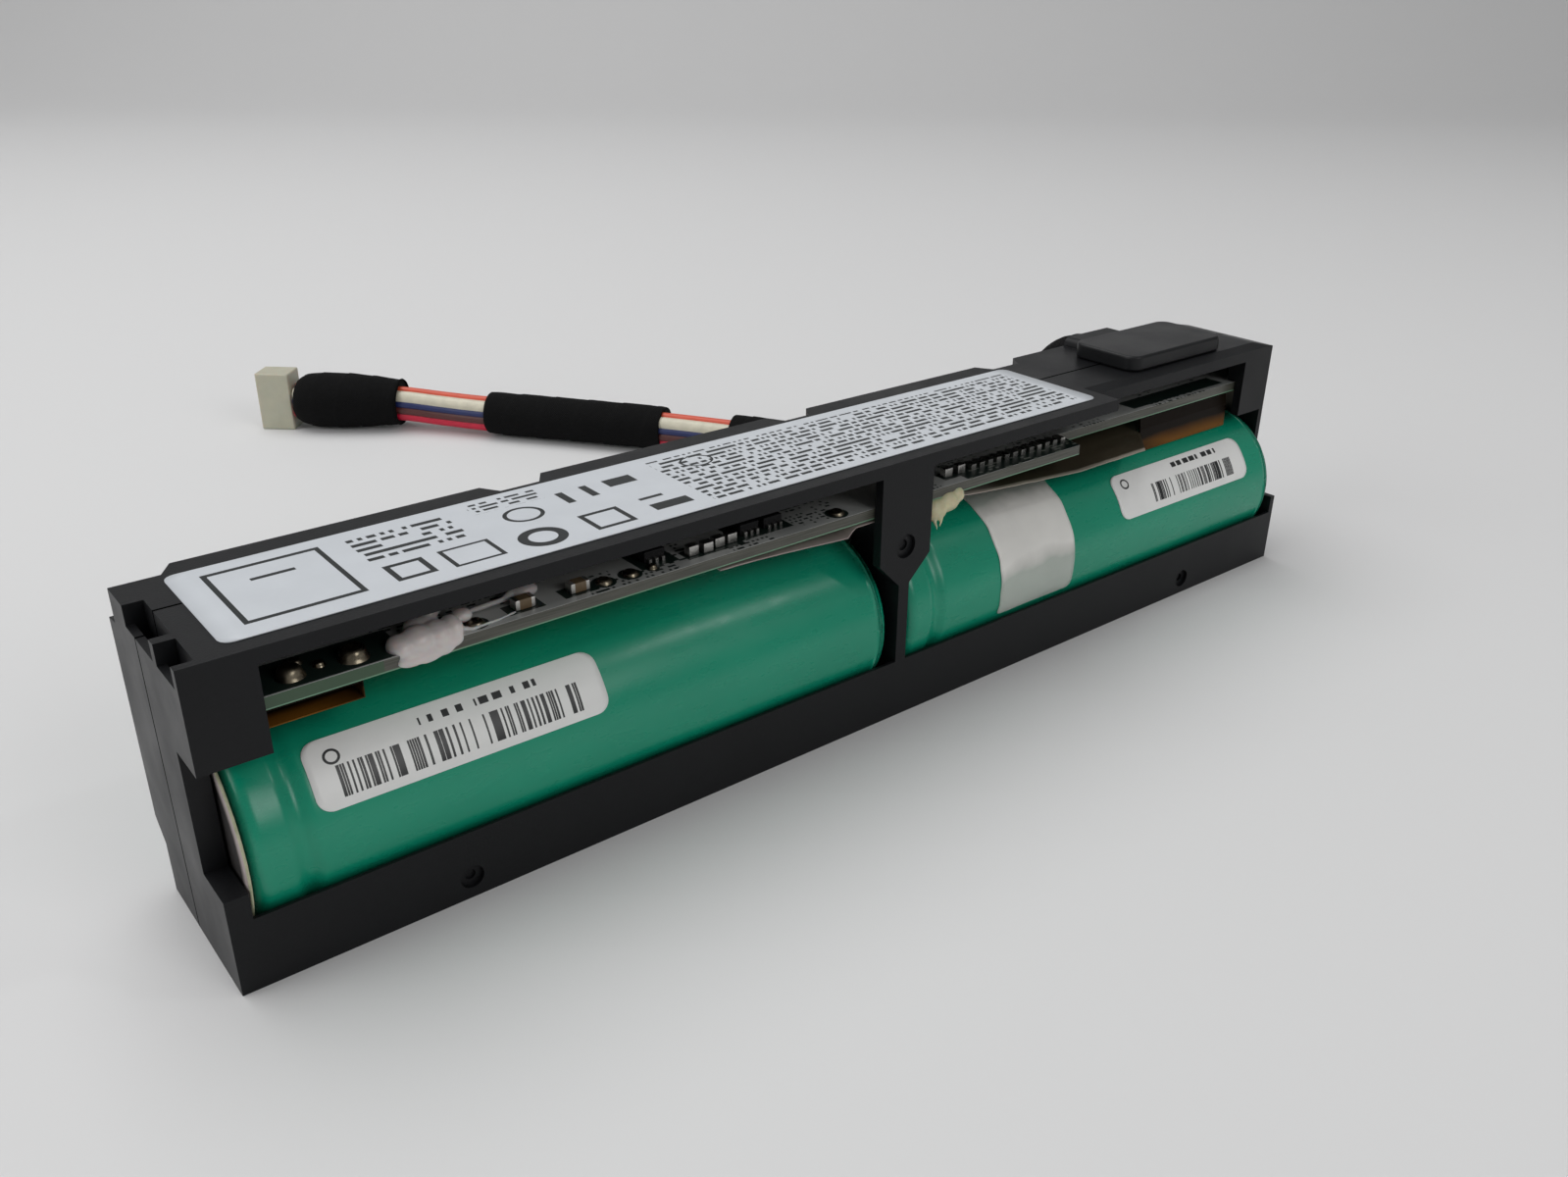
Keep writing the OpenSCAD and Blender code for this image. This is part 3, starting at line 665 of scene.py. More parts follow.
# where each tape starts and ends along the bundle, in route points, its wall and its outline,
# which gives shares of the radius along the tape
wraps = {
    "rootTape": {"node": "root_wrap", "span": (0, 11), "wall": 0.25, "pitch": 5.5, "step": 0.12,
                 "outline": [(0, 0.97), (0.03, 1.0), (0.97, 1.0), (1, 0.98)]},
    "middleTape": {"node": "middle_wrap", "span": (12, 14), "wall": 0.25, "pitch": 6.0, "step": 0.1,
                   "outline": [(0, 0.97), (0.04, 1.0), (0.96, 1.0), (1, 0.97)]},
    "endTape": {"node": "end_wrap", "span": (16, 18), "wall": 1.3, "pitch": 4.2, "step": 0.1,
                "outline": [(0, 0.80), (0.08, 0.84), (0.35, 0.95), (0.62, 1.0), (0.85, 0.97), (0.95, 0.84),
                            (1, 0.5)]},
}


def smoothRoute(points):
    # Catmull-Rom curve through the points, and each route point's place along it
    ends = [points[0] * 2 - points[1]] + points + [points[-1] * 2 - points[-2]]
    line, marks = [], []
    for i in range(1, len(ends) - 2):
        p0, p1, p2, p3 = ends[i - 1:i + 3]
        marks.append(len(line))
        count = max(1, round((p2 - p1).length / (bundle["step"] * mm)))
        for j in range(count):
            t = j / count
            line.append(0.5 * (2 * p1 + (p2 - p0) * t + (2 * p0 - 5 * p1 + 4 * p2 - p3) * t ** 2
                               + (3 * p1 - p0 - 3 * p2 + p3) * t ** 3))
    marks.append(len(line))
    line.append(points[-1])
    return line, marks


def lineObject(name, points):
    data = bpy.data.curves.new(name, "CURVE")
    data.dimensions = "3D"
    spline = data.splines.new("POLY")
    spline.points.add(len(points) - 1)
    for item, point in zip(spline.points, points):
        item.co = (*point, 1)
    return linked(name, data)


socketKinds = {float: "NodeSocketFloat", int: "NodeSocketInt"}


def newTree(name, sizes):
    # a geometry tree with a named input for each size, a Finish and the two geometries
    tree = bpy.data.node_groups.new(name, "GeometryNodeTree")
    tree.interface.new_socket("Geometry", in_out="INPUT", socket_type="NodeSocketGeometry")
    for size, value in sizes.items():
        socket = tree.interface.new_socket(size, in_out="INPUT", socket_type=socketKinds[type(value)])
        socket.default_value = value
    tree.interface.new_socket("Finish", in_out="INPUT", socket_type="NodeSocketMaterial")
    tree.interface.new_socket("Geometry", in_out="OUTPUT", socket_type="NodeSocketGeometry")
    return tree, tree.nodes.new("NodeGroupInput").outputs


def closeTree(tree, geometry, finish):
    real = addNode(tree, "GeometryNodeRealizeInstances", {"Geometry": geometry})
    done = addNode(tree, "GeometryNodeSetMaterial", {"Geometry": real.outputs[0], "Material": finish})
    out = tree.nodes.new("NodeGroupOutput")
    tree.links.new(done.outputs[0], out.inputs[0])


def runTree(source, tree, values):
    # gives the tree its values by socket identifier and returns the result as a mesh object
    modifier = source.modifiers.new("build", "NODES")
    modifier.node_group = tree
    for item in tree.interface.items_tree:
        if item.in_out == "INPUT" and item.name in values:
            modifier[item.identifier] = values[item.name]
    mesh = evaluatedMesh(source)
    name = source.name
    bpy.data.objects.remove(source)
    mesh.name = name
    return addObject(name, mesh)


def vectorMath(tree, operation, first, second=(0, 0, 0)):
    return addNode(tree, "ShaderNodeVectorMath", {0: first, 1: second}, operation=operation).outputs[0]


def vectorTimes(tree, vector, amount):
    return addNode(tree, "ShaderNodeVectorMath", {0: vector, "Scale": amount}, operation="SCALE").outputs[0]


def strandTree():
    # one wire: the route moved sideways by Out at Angle, then given a round section
    tree, given = newTree("strand", {"Angle": 0.0, "Out": 0.002, "Radius": 0.001, "Sway": bundle["sway"],
                                     "Seed": 0})
    tangent = tree.nodes.new("GeometryNodeInputTangent").outputs[0]
    level = vectorMath(tree, "CROSS_PRODUCT", tangent, (0, 0, 1))
    side = vectorMath(tree, "NORMALIZE", level)
    rise = vectorMath(tree, "CROSS_PRODUCT", side, tangent)
    length = tree.nodes.new("GeometryNodeSplineParameter").outputs["Length"]
    wander = addNode(tree, "ShaderNodeTexNoise", {
        "W": mathNode(tree, "ADD", length, given["Seed"]), "Scale": bundle["swayScale"], "Detail": 0.0},
        noise_dimensions="1D")
    sway = mathNode(tree, "MULTIPLY", mathNode(tree, "SUBTRACT", wander.outputs["Fac"], 0.5), given["Sway"])
    phase = mathNode(tree, "ADD", given["Angle"], sway)
    across = mathNode(tree, "MULTIPLY", mathNode(tree, "COSINE", phase), given["Out"])
    above = mathNode(tree, "MULTIPLY", mathNode(tree, "SINE", phase), given["Out"])
    shift = vectorMath(tree, "ADD", vectorTimes(tree, side, across), vectorTimes(tree, rise, above))
    moved = addNode(tree, "GeometryNodeSetPosition", {"Geometry": given["Geometry"], "Offset": shift})
    section = addNode(tree, "GeometryNodeCurvePrimitiveCircle", {
        "Radius": given["Radius"], "Resolution": bundle["wireSides"]})
    body = addNode(tree, "GeometryNodeCurveToMesh", {
        "Curve": moved.outputs[0], "Profile Curve": section.outputs[0], "Fill Caps": True})
    closeTree(tree, body.outputs[0], given["Finish"])
    return tree


def wrapTree(name, outline):
    # cloth tape wound in turns: each turn ends in a small step over the one before
    tree, given = newTree(name, {"Radius": 0.003, "Pitch": 0.005, "Step": 0.0001, "Rough": 0.0001})
    fine = addNode(tree, "GeometryNodeResampleCurve", {
        "Curve": given["Geometry"], "Length": bundle["tapeStep"] * mm}, mode="LENGTH")
    along = tree.nodes.new("GeometryNodeSplineParameter")
    keepLength = addNode(tree, "GeometryNodeCaptureAttribute", {"Geometry": fine.outputs[0]})
    keepLength.capture_items.new("FLOAT", "Length")
    keepLength.capture_items.new("FLOAT", "Factor")
    tree.links.new(along.outputs["Length"], keepLength.inputs[1])
    tree.links.new(along.outputs["Factor"], keepLength.inputs[2])
    section = addNode(tree, "GeometryNodeCurvePrimitiveCircle", {
        "Radius": given["Radius"], "Resolution": bundle["tapeSides"]})
    keepTurn = addNode(tree, "GeometryNodeCaptureAttribute", {"Geometry": section.outputs[0]})
    keepTurn.capture_items.new("FLOAT", "Turn")
    tree.links.new(along.outputs["Factor"], keepTurn.inputs[1])
    body = addNode(tree, "GeometryNodeCurveToMesh", {
        "Curve": keepLength.outputs[0], "Profile Curve": keepTurn.outputs[0], "Fill Caps": True})
    length, factor, turn = keepLength.outputs[1], keepLength.outputs[2], keepTurn.outputs[1]
    wound = mathNode(tree, "ADD", mathNode(tree, "DIVIDE", length, given["Pitch"]), turn)
    step = mathNode(tree, "MULTIPLY", mathNode(tree, "FRACT", wound), given["Step"])
    shape = tree.nodes.new("ShaderNodeFloatCurve")
    tree.links.new(factor, shape.inputs["Value"])
    points = shape.mapping.curves[0].points
    while len(points) < len(outline):
        points.new(0.5, 1.0)
    for item, place in zip(points, outline):
        item.location = place
    shape.mapping.update()
    swell = mathNode(tree, "MULTIPLY", mathNode(tree, "SUBTRACT", shape.outputs[0], 1.0), given["Radius"])
    lump = addNode(tree, "ShaderNodeTexNoise", {"Scale": bundle["tapeLumps"], "Detail": 2.0})
    rough = mathNode(tree, "MULTIPLY", mathNode(tree, "SUBTRACT", lump.outputs["Fac"], 0.5), given["Rough"])
    outward = mathNode(tree, "ADD", mathNode(tree, "ADD", step, swell), rough)
    normal = tree.nodes.new("GeometryNodeInputNormal").outputs[0]
    moved = addNode(tree, "GeometryNodeSetPosition", {
        "Geometry": body.outputs[0], "Offset": vectorTimes(tree, normal, outward)})
    around = mathNode(tree, "MULTIPLY", mathNode(tree, "MULTIPLY", turn, given["Radius"]), 2 * math.pi / mm)
    uv = addNode(tree, "ShaderNodeCombineXYZ", {"X": mathNode(tree, "DIVIDE", length, mm), "Y": around})
    stored = addNode(tree, "GeometryNodeStoreNamedAttribute", {
        "Geometry": moved.outputs[0], "Name": "UVMap", "Value": uv.outputs[0]},
        data_type="FLOAT2", domain="CORNER")
    closeTree(tree, stored.outputs[0], given["Finish"])
    return tree


def makeHarness():
    line, marks = smoothRoute([Vector(p) * mm for p in route])
    length = sum((b - a).length for a, b in zip(line, line[1:]))
    tree = strandTree()
    strands = []
    for i, (name, wire) in enumerate(wires.items()):
        sheath = gloss(name + "Sheath", wire["colour"], 0.38, 700, 0.00001, 0.08)
        strands.append(runTree(lineObject(name, line), tree, {
            "Angle": math.radians(wire["angle"]), "Out": wire["out"] * mm, "Radius": wire["radius"] * mm,
            "Sway": bundle["sway"], "Seed": i * 7, "Finish": sheath}))
    wireBundle = joinMeshes("wireBundle", strands)
    attach(wireBundle, "wire_red", "harness")
    riders = []
    for name, tape in wraps.items():
        start, end = [marks[i] for i in tape["span"]]
        part = line[start:end + 1]
        if name == "endTape":
            part.append(line[-1])  # on to the plug
        wound = runTree(lineObject(name, part), wrapTree(name, tape["outline"]), {
            "Radius": (bundle["radius"] + tape["wall"]) * mm, "Pitch": tape["pitch"] * mm,
            "Step": tape["step"] * mm, "Rough": bundle["tapeRough"] * mm, "Finish": blackCloth})
        riders.append(attach(wound, "cloth_black", tape["node"]))
    housing = softened("plug_housing", 0.25, plugNylon, "plug_cream", 3)
    contacts = frame["nodes"]["plug_contacts"]
    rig.cord(wireBundle, exit=line[0], length=length, diameter=0.0064, far_end="plug", stiffness="medium",
            lay="loose", path=line, with_pieces=riders + [housing, contacts])
    print("harness: %.1f mm long" % (length / mm))


makeHarness()


# frame and pad

softened("front_frame", 0.15, blackPlastic, "frame_plastic")
softened("rear_frame", 0.15, blackPlastic, "frame_plastic")
softened("bumper_pad", 0.35, padRubber, "pad_black", 3)
print("frame halves and pad are made")


# cells

film = {"colour": (0.004, 0.29, 0.17), "shades": (0.93, 1.07), "roughness": (0.25, 0.33), "depth": 0.00001}


def shrinkFilm(name):
    # gently rippled along the cell, with fine grain on top
    material, tree, shader = startMaterial(name, film["colour"], film["roughness"][0])
    point = objectPoint(tree, (0.35, 1, 1))
    broad = noiseNode(tree, point, 110, 4)
    fine = noiseNode(tree, point, 900)
    paint(tree, shader, mottled(tree, broad, *[scaled(film["colour"], share) for share in film["shades"]]))
    tree.links.new(remap(tree, fine, *noiseSpan, *film["roughness"]), shader.inputs["Roughness"])
    height = mathNode(tree, "ADD", mathNode(tree, "MULTIPLY", broad, 3.0), fine)
    addBump(tree, shader, height, film["depth"])
    return material


greenFilm = shrinkFilm("greenFilm")

# millimetres; the rows are close over the crimp groove, up to fineUpTo, and wider past it
sleeve = {"mouth": 7.1, "shoulder": 1.25, "shoulderSteps": 8, "grooveAt": 4.3, "grooveDepth": 0.42,
          "grooveHalf": 1.3, "wall": 0.1, "turns": 128, "wave": 0.03, "fineUpTo": 7, "fine": 0.2,
          "wide": 0.9}


def sleeveProfile(length, radius):
    # places along the cell, each with its radius
    bend = sleeve["shoulder"]
    inner = radius - bend
    halfway = (sleeve["mouth"] + inner) / 2
    arc = [math.pi / 2 * i / sleeve["shoulderSteps"] for i in range(sleeve["shoulderSteps"] + 1)]
    profile = [(0.0, sleeve["mouth"]), (0.0, halfway)]
    profile += [(bend - bend * math.cos(a), inner + bend * math.sin(a)) for a in arc]
    x = bend
    while x < length - bend - 0.5:
        x += sleeve["fine"] if x < sleeve["fineUpTo"] else sleeve["wide"]
        dip = min(1.0, abs(x - sleeve["grooveAt"]) / sleeve["grooveHalf"])
        profile.append((x, radius - sleeve["grooveDepth"] * 0.5 * (1 + math.cos(math.pi * dip))))
    profile += [(length - bend + bend * math.sin(a), inner + bend * math.cos(a)) for a in arc]
    return profile + [(length, halfway), (length, sleeve["mouth"])], inner


def makeSleeve(node):
    # shrink film with a crimp groove, faintly wavy outside its mouths
    low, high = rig.box(node)
    centreY, centreZ, radius = cellAxis(node)
    profile, inner = sleeveProfile((high.x - low.x) / mm, radius / mm)
    rows = []
    for x, r in profile:
        row = []
        for j in range(sleeve["turns"]):
            a = 2 * math.pi * j / sleeve["turns"]
            y, z = math.cos(a), math.sin(a)
            wave = noise.noise((x * 0.12, y * 1.5, z * 1.5)) - 0.5
            grow = r + sleeve["wave"] * wave if r > inner else r
            row.append((low.x + x * mm, centreY + grow * y * mm, centreZ + grow * z * mm))
        rows.append(row)
    piece = gridPiece(node + "_film", rows, greenFilm, sleeve["wall"], loop=True)
    attach(piece, "sleeve_green", node)


def dress(node, material):
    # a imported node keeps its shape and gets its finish
    mesh = frame["nodes"][node].data
    mesh.materials.clear()
    mesh.materials.append(material)


# the right tab takes the nickel darkened as painted shade
cellFinishes = {
    "left_can": canSteel, "right_can": canSteel, "cell_caps": canSteel, "cell_gaskets": sealBlack,
    "left_tab": nickel, "link_strip": nickel, "right_tab": shadedNickel, "plug_contacts": goldContact,
}
for side in ("left", "right"):
    makeSleeve(side + "_sleeve")
for node, material in cellFinishes.items():
    dress(node, material)
print("cells are made")


# labels, tapes and disc, in millimetres

# what all three labels share; cellLift is how far the cells' labels stand off the sleeve
label = {"thickness": 0.08, "cellCorner": 1.3, "cellLift": 0.1, "topCorner": 1.0,
         "shade": 0.95, "roughness": 0.34, "depth": 0.000008}


def finishPrint(tree, shader, ink, ground, inkColour):
    mottle = noiseNode(tree, objectPoint(tree), 300, 4)
    paper = mottled(tree, mottle, scaled(ground, label["shade"]), ground)
    paint(tree, shader, mixColour(tree, ink, paper, inkColour))
    addBump(tree, shader, noiseNode(tree, objectPoint(tree), 1400), label["depth"])


# plain stand-ins for the print, in millimetres; bars and row give x from and to, y from and to
cellLabel = {
    "paper": (0.86, 0.86, 0.845), "ink": (0.012, 0.013, 0.014), "shine": 0.5,
    "barPitch": 0.21, "barShare": 0.8, "bareUnder": 0.36, "fatOver": 0.72,
    "dashPitch": 0.42, "dashRow": 1.3, "dashFill": 0.62,
    "wordPitch": 1.26, "wordShare": 0.8, "ring": (2.2, 4.2, 0.7, 0.65, 0.22, False),
    "left": {"bars": (2.2, 24.0, 0.8, 3.4), "row": (9.5, 20.5, 4.0, 5.2), "seed": 4.0},
    "right": {"bars": (6.5, 22.5, 0.9, 3.2), "row": (11.5, 20.5, 3.9, 5.0), "seed": 9.0},
}


def cellPrint(side):
    # bars of random width in one band, and a row of dashes and a ring beside them
    marks = cellLabel[side]
    material, tree, shader = startMaterial(side + "CellPrint", cellLabel["paper"], label["roughness"],
                                           Specular_IOR_Level=cellLabel["shine"])
    u, v = sheetPlace(tree)
    cell, inside = stepped(tree, u, cellLabel["barPitch"])
    chance = randomValue(tree, cell, marks["seed"])
    thin = mathNode(tree, "LESS_THAN", inside, cellLabel["barShare"])
    fat = mathNode(tree, "GREATER_THAN", chance, cellLabel["fatOver"])
    inked = mathNode(tree, "GREATER_THAN", chance, cellLabel["bareUnder"])
    lines = mathNode(tree, "MULTIPLY", inked, mathNode(tree, "MAXIMUM", thin, fat))
    code = mathNode(tree, "MULTIPLY", lines, barMark(tree, u, v, *marks["bars"]))
    strokes = randomDashes(tree, u, v, cellLabel["dashPitch"], cellLabel["dashRow"], cellLabel["dashFill"],
                           marks["seed"] + 1)
    words = mathNode(tree, "LESS_THAN", stepped(tree, u, cellLabel["wordPitch"])[1], cellLabel["wordShare"])
    row = fold(tree, "MULTIPLY", [strokes, words, barMark(tree, u, v, *marks["row"])])
    ink = fold(tree, "MAXIMUM", [code, row, ringMark(tree, u, v, *cellLabel["ring"])])
    finishPrint(tree, shader, ink, cellLabel["paper"], cellLabel["ink"])
    return material


def makeCellLabel(side):
    # paper wrapped round the front of its cell
    node = side + "_cell_label"
    low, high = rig.box(node)
    centreY, centreZ, radius = cellAxis(side + "_sleeve")
    reach = radius + label["cellLift"] * mm
    start = math.asin((low.z - centreZ) / radius)
    end = math.asin(min(1.0, (high.z - centreZ) / reach))

    def place(u, v):
        a = start + v * mm / reach
        return Vector((low.x + u * mm, centreY - reach * math.cos(a), centreZ + reach * math.sin(a)))
    length = (high.x - low.x) / mm
    width = (end - start) * reach / mm
    piece = roundedSheet(node + "_print", length, width, label["cellCorner"], place, cellPrint(side),
                         label["thickness"])
    attach(piece, "label_white", node)


topLabel = {
    "paper": (0.60, 0.63, 0.665), "ink": (0.022, 0.025, 0.026), "shine": 0.22,
    # areas of small dashes: x from and to, y from and to, pitch, row height, share that is ink, seed
    "smallPrint": [
        (44.5, 94.5, 0.9, 12.9, 0.33, 0.95, 0.66, 3.0),
        (14.2, 23.2, 7.2, 12.6, 0.40, 1.15, 0.60, 5.0),
        (25.5, 32.5, 11.0, 13.4, 0.36, 0.80, 0.55, 8.0),
    ],
    # outlines: middle x and y, half width, half height, line, and whether it is a box
    "outlines": [
        (7.2, 7.4, 4.8, 5.3, 0.45, True), (16.2, 3.9, 1.7, 1.7, 0.5, True), (21.6, 3.8, 2.3, 1.9, 0.4, True),
        (27.9, 3.2, 2.2, 2.0, 0.9, False), (29.0, 8.6, 1.9, 1.7, 0.4, False),
        (49.0, 10.6, 1.8, 1.4, 0.25, False), (34.4, 3.4, 2.0, 1.9, 0.5, True),
    ],
    "bars": [
        (5.4, 9.0, 9.4, 9.9), (33.5, 34.3, 8.4, 11.2), (36.1, 36.9, 8.6, 11.4), (38.6, 41.6, 9.6, 11.4),
        (38.9, 42.9, 2.2, 3.7), (38.9, 41.4, 5.0, 5.5),
    ],
}


def topPrint():
    material, tree, shader = startMaterial("topPrint", topLabel["paper"], label["roughness"],
                                           Specular_IOR_Level=topLabel["shine"])
    u, v = sheetPlace(tree)
    marks = [mathNode(tree, "MULTIPLY", randomDashes(tree, u, v, *mark[4:]), barMark(tree, u, v, *mark[:4]))
             for mark in topLabel["smallPrint"]]
    marks += [ringMark(tree, u, v, *mark) for mark in topLabel["outlines"]]
    marks += [barMark(tree, u, v, *mark) for mark in topLabel["bars"]]
    finishPrint(tree, shader, fold(tree, "MAXIMUM", marks), topLabel["paper"], topLabel["ink"])
    return material


def makeTopLabel():
    low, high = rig.box("top_label")
    size = (high - low) / mm

    def place(u, v):
        return Vector((low.x + u * mm, low.y + v * mm, high.z))
    piece = roundedSheet("top_label_print", size.x, size.y, label["topCorner"], place, topPrint(),
                         label["thickness"])
    attach(piece, "label_white", "top_label")


milky = {"colour": (0.88, 0.87, 0.83), "shade": 0.92, "roughness": 0.34, "depth": 0.00012,
         "lowEnd": (4.0, 6.2), "highEnd": (13.6, 11.4), "waver": 6.0, "alpha": (0.40, 0.95)}


def clearFilm(name):
    # milky film, whole in the middle of its length and clearer towards both ends
    material, tree, shader = startMaterial(name, milky["colour"], milky["roughness"])
    v = sheetPlace(tree)[1]
    wave = noiseNode(tree, objectPoint(tree), 220)
    paint(tree, shader, mottled(tree, wave, scaled(milky["colour"], milky["shade"]), milky["colour"]))
    waver = mathNode(tree, "SUBTRACT", noiseNode(tree, objectPoint(tree), 120), 0.5)
    level = mathNode(tree, "ADD", v, mathNode(tree, "MULTIPLY", waver, milky["waver"]))
    ends = [remap(tree, level, *milky[end]) for end in ("lowEnd", "highEnd")]
    body = mathNode(tree, "MULTIPLY", *ends)
    tree.links.new(remap(tree, body, 0.0, 1.0, *milky["alpha"]), shader.inputs["Alpha"])
    addBump(tree, shader, wave, milky["depth"])
    return material


milkFilm = clearFilm("milkFilm")

# its angles run round the cell, up from level at the front
whiteTape = {"from": -20, "to": 100, "lift": 0.09, "thickness": 0.06, "corner": 0.6, "steps": (24, 60),
             "wrinkle": 0.10, "pressedIn": 0.03, "raggedEnd": 0.12}


def makeWhiteTape():
    low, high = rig.box("white_tape")
    centreY, centreZ, radius = cellAxis("right_sleeve")
    reach = radius + whiteTape["lift"] * mm
    start, end = math.radians(whiteTape["from"]), math.radians(whiteTape["to"])
    length = (high.x - low.x) / mm
    width = (end - start) * reach / mm

    def place(u, v):
        a = start + v * mm / reach
        wrinkle = whiteTape["wrinkle"] * noise.noise((u * 0.25, v * 0.4, 3.0))
        r = reach + max(-whiteTape["pressedIn"], wrinkle) * mm
        ragged = whiteTape["raggedEnd"] * noise.noise((v * 0.5, 7.0, 1.0)) * abs(2 * u / length - 1) ** 4
        return Vector((low.x + (u + ragged) * mm, centreY - r * math.cos(a), centreZ + r * math.sin(a)))
    piece = roundedSheet("white_tape_film", length, width, whiteTape["corner"], place, milkFilm,
                         whiteTape["thickness"], *whiteTape["steps"])
    attach(piece, "white_film", "white_tape")


# each amber tape darkens between two heights, two depths and two places along the frame
amber = {
    "lit": (0.18, 0.072, 0.010), "shade": (0.008, 0.005, 0.003), "waver": 0.9, "endShade": 0.8,
    "roughness": 0.35, "shine": 0.06, "alpha": 0.97, "depth": 0.00005,
    "left": {"rise": (22.0, 22.6), "behind": (2.4, 3.4), "end": (13.4, 9.5)},
    "right": {"rise": (19.0, 20.5), "behind": (8.0, 9.0), "end": (114.0, 120.0)},
}


def bandedFilm(side):
    # amber film: bright along its lower front edge, dark in the shade above and behind,
    # and darker towards one end
    part = amber[side]
    material, tree, shader = startMaterial(side + "Amber", amber["lit"], amber["roughness"],
                                           Specular_IOR_Level=amber["shine"], Alpha=amber["alpha"])
    x, y, z = frameMillimetres(tree)
    wave = noiseNode(tree, objectPoint(tree, (0.5, 1, 1)), 260)
    waver = mathNode(tree, "MULTIPLY", mathNode(tree, "SUBTRACT", wave, 0.5), amber["waver"])
    above = remap(tree, mathNode(tree, "ADD", z, waver), *part["rise"])
    dark = fold(tree, "MAXIMUM", [above, remap(tree, y, *part["behind"]),
                                  remap(tree, x, *part["end"], amber["endShade"], 0.0)])
    paint(tree, shader, mixColour(tree, dark, amber["lit"], amber["shade"]))
    addBump(tree, shader, wave, amber["depth"])
    return material


disc = {
    "shadow": (0.02, 0.017, 0.017), "paper": ((0.34, 0.29, 0.285), (0.54, 0.47, 0.46)),
    "rim": ((0.30, 0.32, 0.18), (0.62, 0.62, 0.44)), "shadowTo": (7.3, 8.2), "rimFrom": (8.7, 8.95),
    "roughness": 0.8, "depth": 0.0001,
    # its shape: rings and points round, wall, how far it is drawn in, its bow and its ragged rim
    "rings": 18, "turns": 160, "wall": 0.2, "inset": 0.1, "middle": 0.02, "bow": 0.12, "rags": (0.07, 0.05),
}


def shadowedDisc(name):
    # pinkish pressed paper, paler and greener at its cut rim, with painted shadow darkening its face inward from the
    # rim
    material, tree, shader = startMaterial(name, disc["paper"][1], disc["roughness"])
    y, z = frameMillimetres(tree)[1:]
    centreY, centreZ = cellAxis("left_insulator")[:2]
    centre = ((centreY - face) / mm, (centreZ - base) / mm, 1.0, 1.0)
    out = nearest(tree, y, z, [centre])
    fibre = noiseNode(tree, objectPoint(tree), 1400, 5)
    paper = mixColour(tree, fibre, *disc["paper"])
    # painted shadow: the face goes dark inward of the rim, where the frame's left wall shades it
    paper = mixColour(tree, remap(tree, out, *disc["shadowTo"]), disc["shadow"], paper)
    rim = mixColour(tree, fibre, *disc["rim"])
    paint(tree, shader, mixColour(tree, remap(tree, out, *disc["rimFrom"]), paper, rim))
    addBump(tree, shader, fibre, disc["depth"])
    return material


discPaper = shadowedDisc("discPaper")


def makeDisc():
    # pressed paper disc, bowed a little and ragged at its rim
    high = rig.box("left_insulator")[1]
    centreY, centreZ, radius = cellAxis("left_insulator")
    coarse, small = disc["rags"]
    rows = []
    for i in range(disc["rings"] + 1):
        share = i / disc["rings"]
        row = []
        for j in range(disc["turns"]):
            a = 2 * math.pi * j / disc["turns"]
            y, z = math.cos(a), math.sin(a)
            rags = coarse * noise.noise((y * 28, z * 28, 2.0)) + small * noise.noise((y * 9, z * 9, 5.0))
            bow = disc["bow"] * share ** 2 * noise.noise((y * 1.3, z * 1.3, 8.0))
            r = (radius / mm - disc["inset"]) * max(share, disc["middle"]) + rags * share ** 6
            row.append((high.x + bow * mm, centreY + r * y * mm, centreZ + r * z * mm))
        rows.append(row)
    piece = gridPiece("left_insulator_disc", rows, discPaper, disc["wall"], loop=True)
    attach(piece, "disc_paper", "left_insulator")


for side in ("left", "right"):
    makeCellLabel(side)
makeTopLabel()
makeWhiteTape()
makeDisc()
for side in ("left", "right"):
    dress(side + "_amber_tape", bandedFilm(side))
print("labels, tapes and disc are made")


# board, in millimetres

# places on the board, x and y in millimetres: pads and rings with a radius, dark fields with half sizes
padSpots = [(9.6, 5, 0.6), (11, 3.6, 0.5), (23.7, 2.6, 0.75), (36.2, 3, 0.75), (38.9, 3, 0.75),
            (41.2, 2.9, 0.45), (62.6, 2.6, 0.8), (8.6, 3.2, 1.05), (13.6, 3.2, 1.15)]

board = {
    "darkFields": [(28.3, 3, 1.7, 0.95), (33.6, 3, 1.7, 0.95), (42.2, 5.2, 2.0, 2.3), (54.2, 5, 3.2, 2.2),
                   (48, 3.1, 3.2, 0.85), (89.2, 3.2, 9.4, 1.9), (79.4, 3.4, 1.8, 0.9), (91, 9, 3, 1.6),
                   (122, 7.2, 9, 1.3), (10.9, 3.8, 6.4, 2.4)],
    "ringSize": 1.5,  # dark ring, as a share of the pad's radius
    "mask": ((0.30, 0.31, 0.30), (0.46, 0.47, 0.455)), "dark": (0.010, 0.020, 0.016), "darkSunk": 0.4,
    # letters, and the painted glints, are random dashes: pitch, row height, share that is inked, seed
    "letters": (0.27, 0.62, 0.42, 2.0), "letterPatches": 0.54,
    "glintDots": (0.5, 0.55, 0.22, 6.0), "glintSpan": (80.0, 98.5), "glintColour": (0.20, 0.22, 0.19),
    "edge": ((0.042, 0.042, 0.032), (0.10, 0.10, 0.082)),
    "greenEdge": (0.042, 0.085, 0.045), "greenUpTo": 15.2,
    "foot": (0.16, 0.31, 0.20), "footShare": 0.12,
    "roughness": (0.28, 0.5), "depth": 0.00003,
}


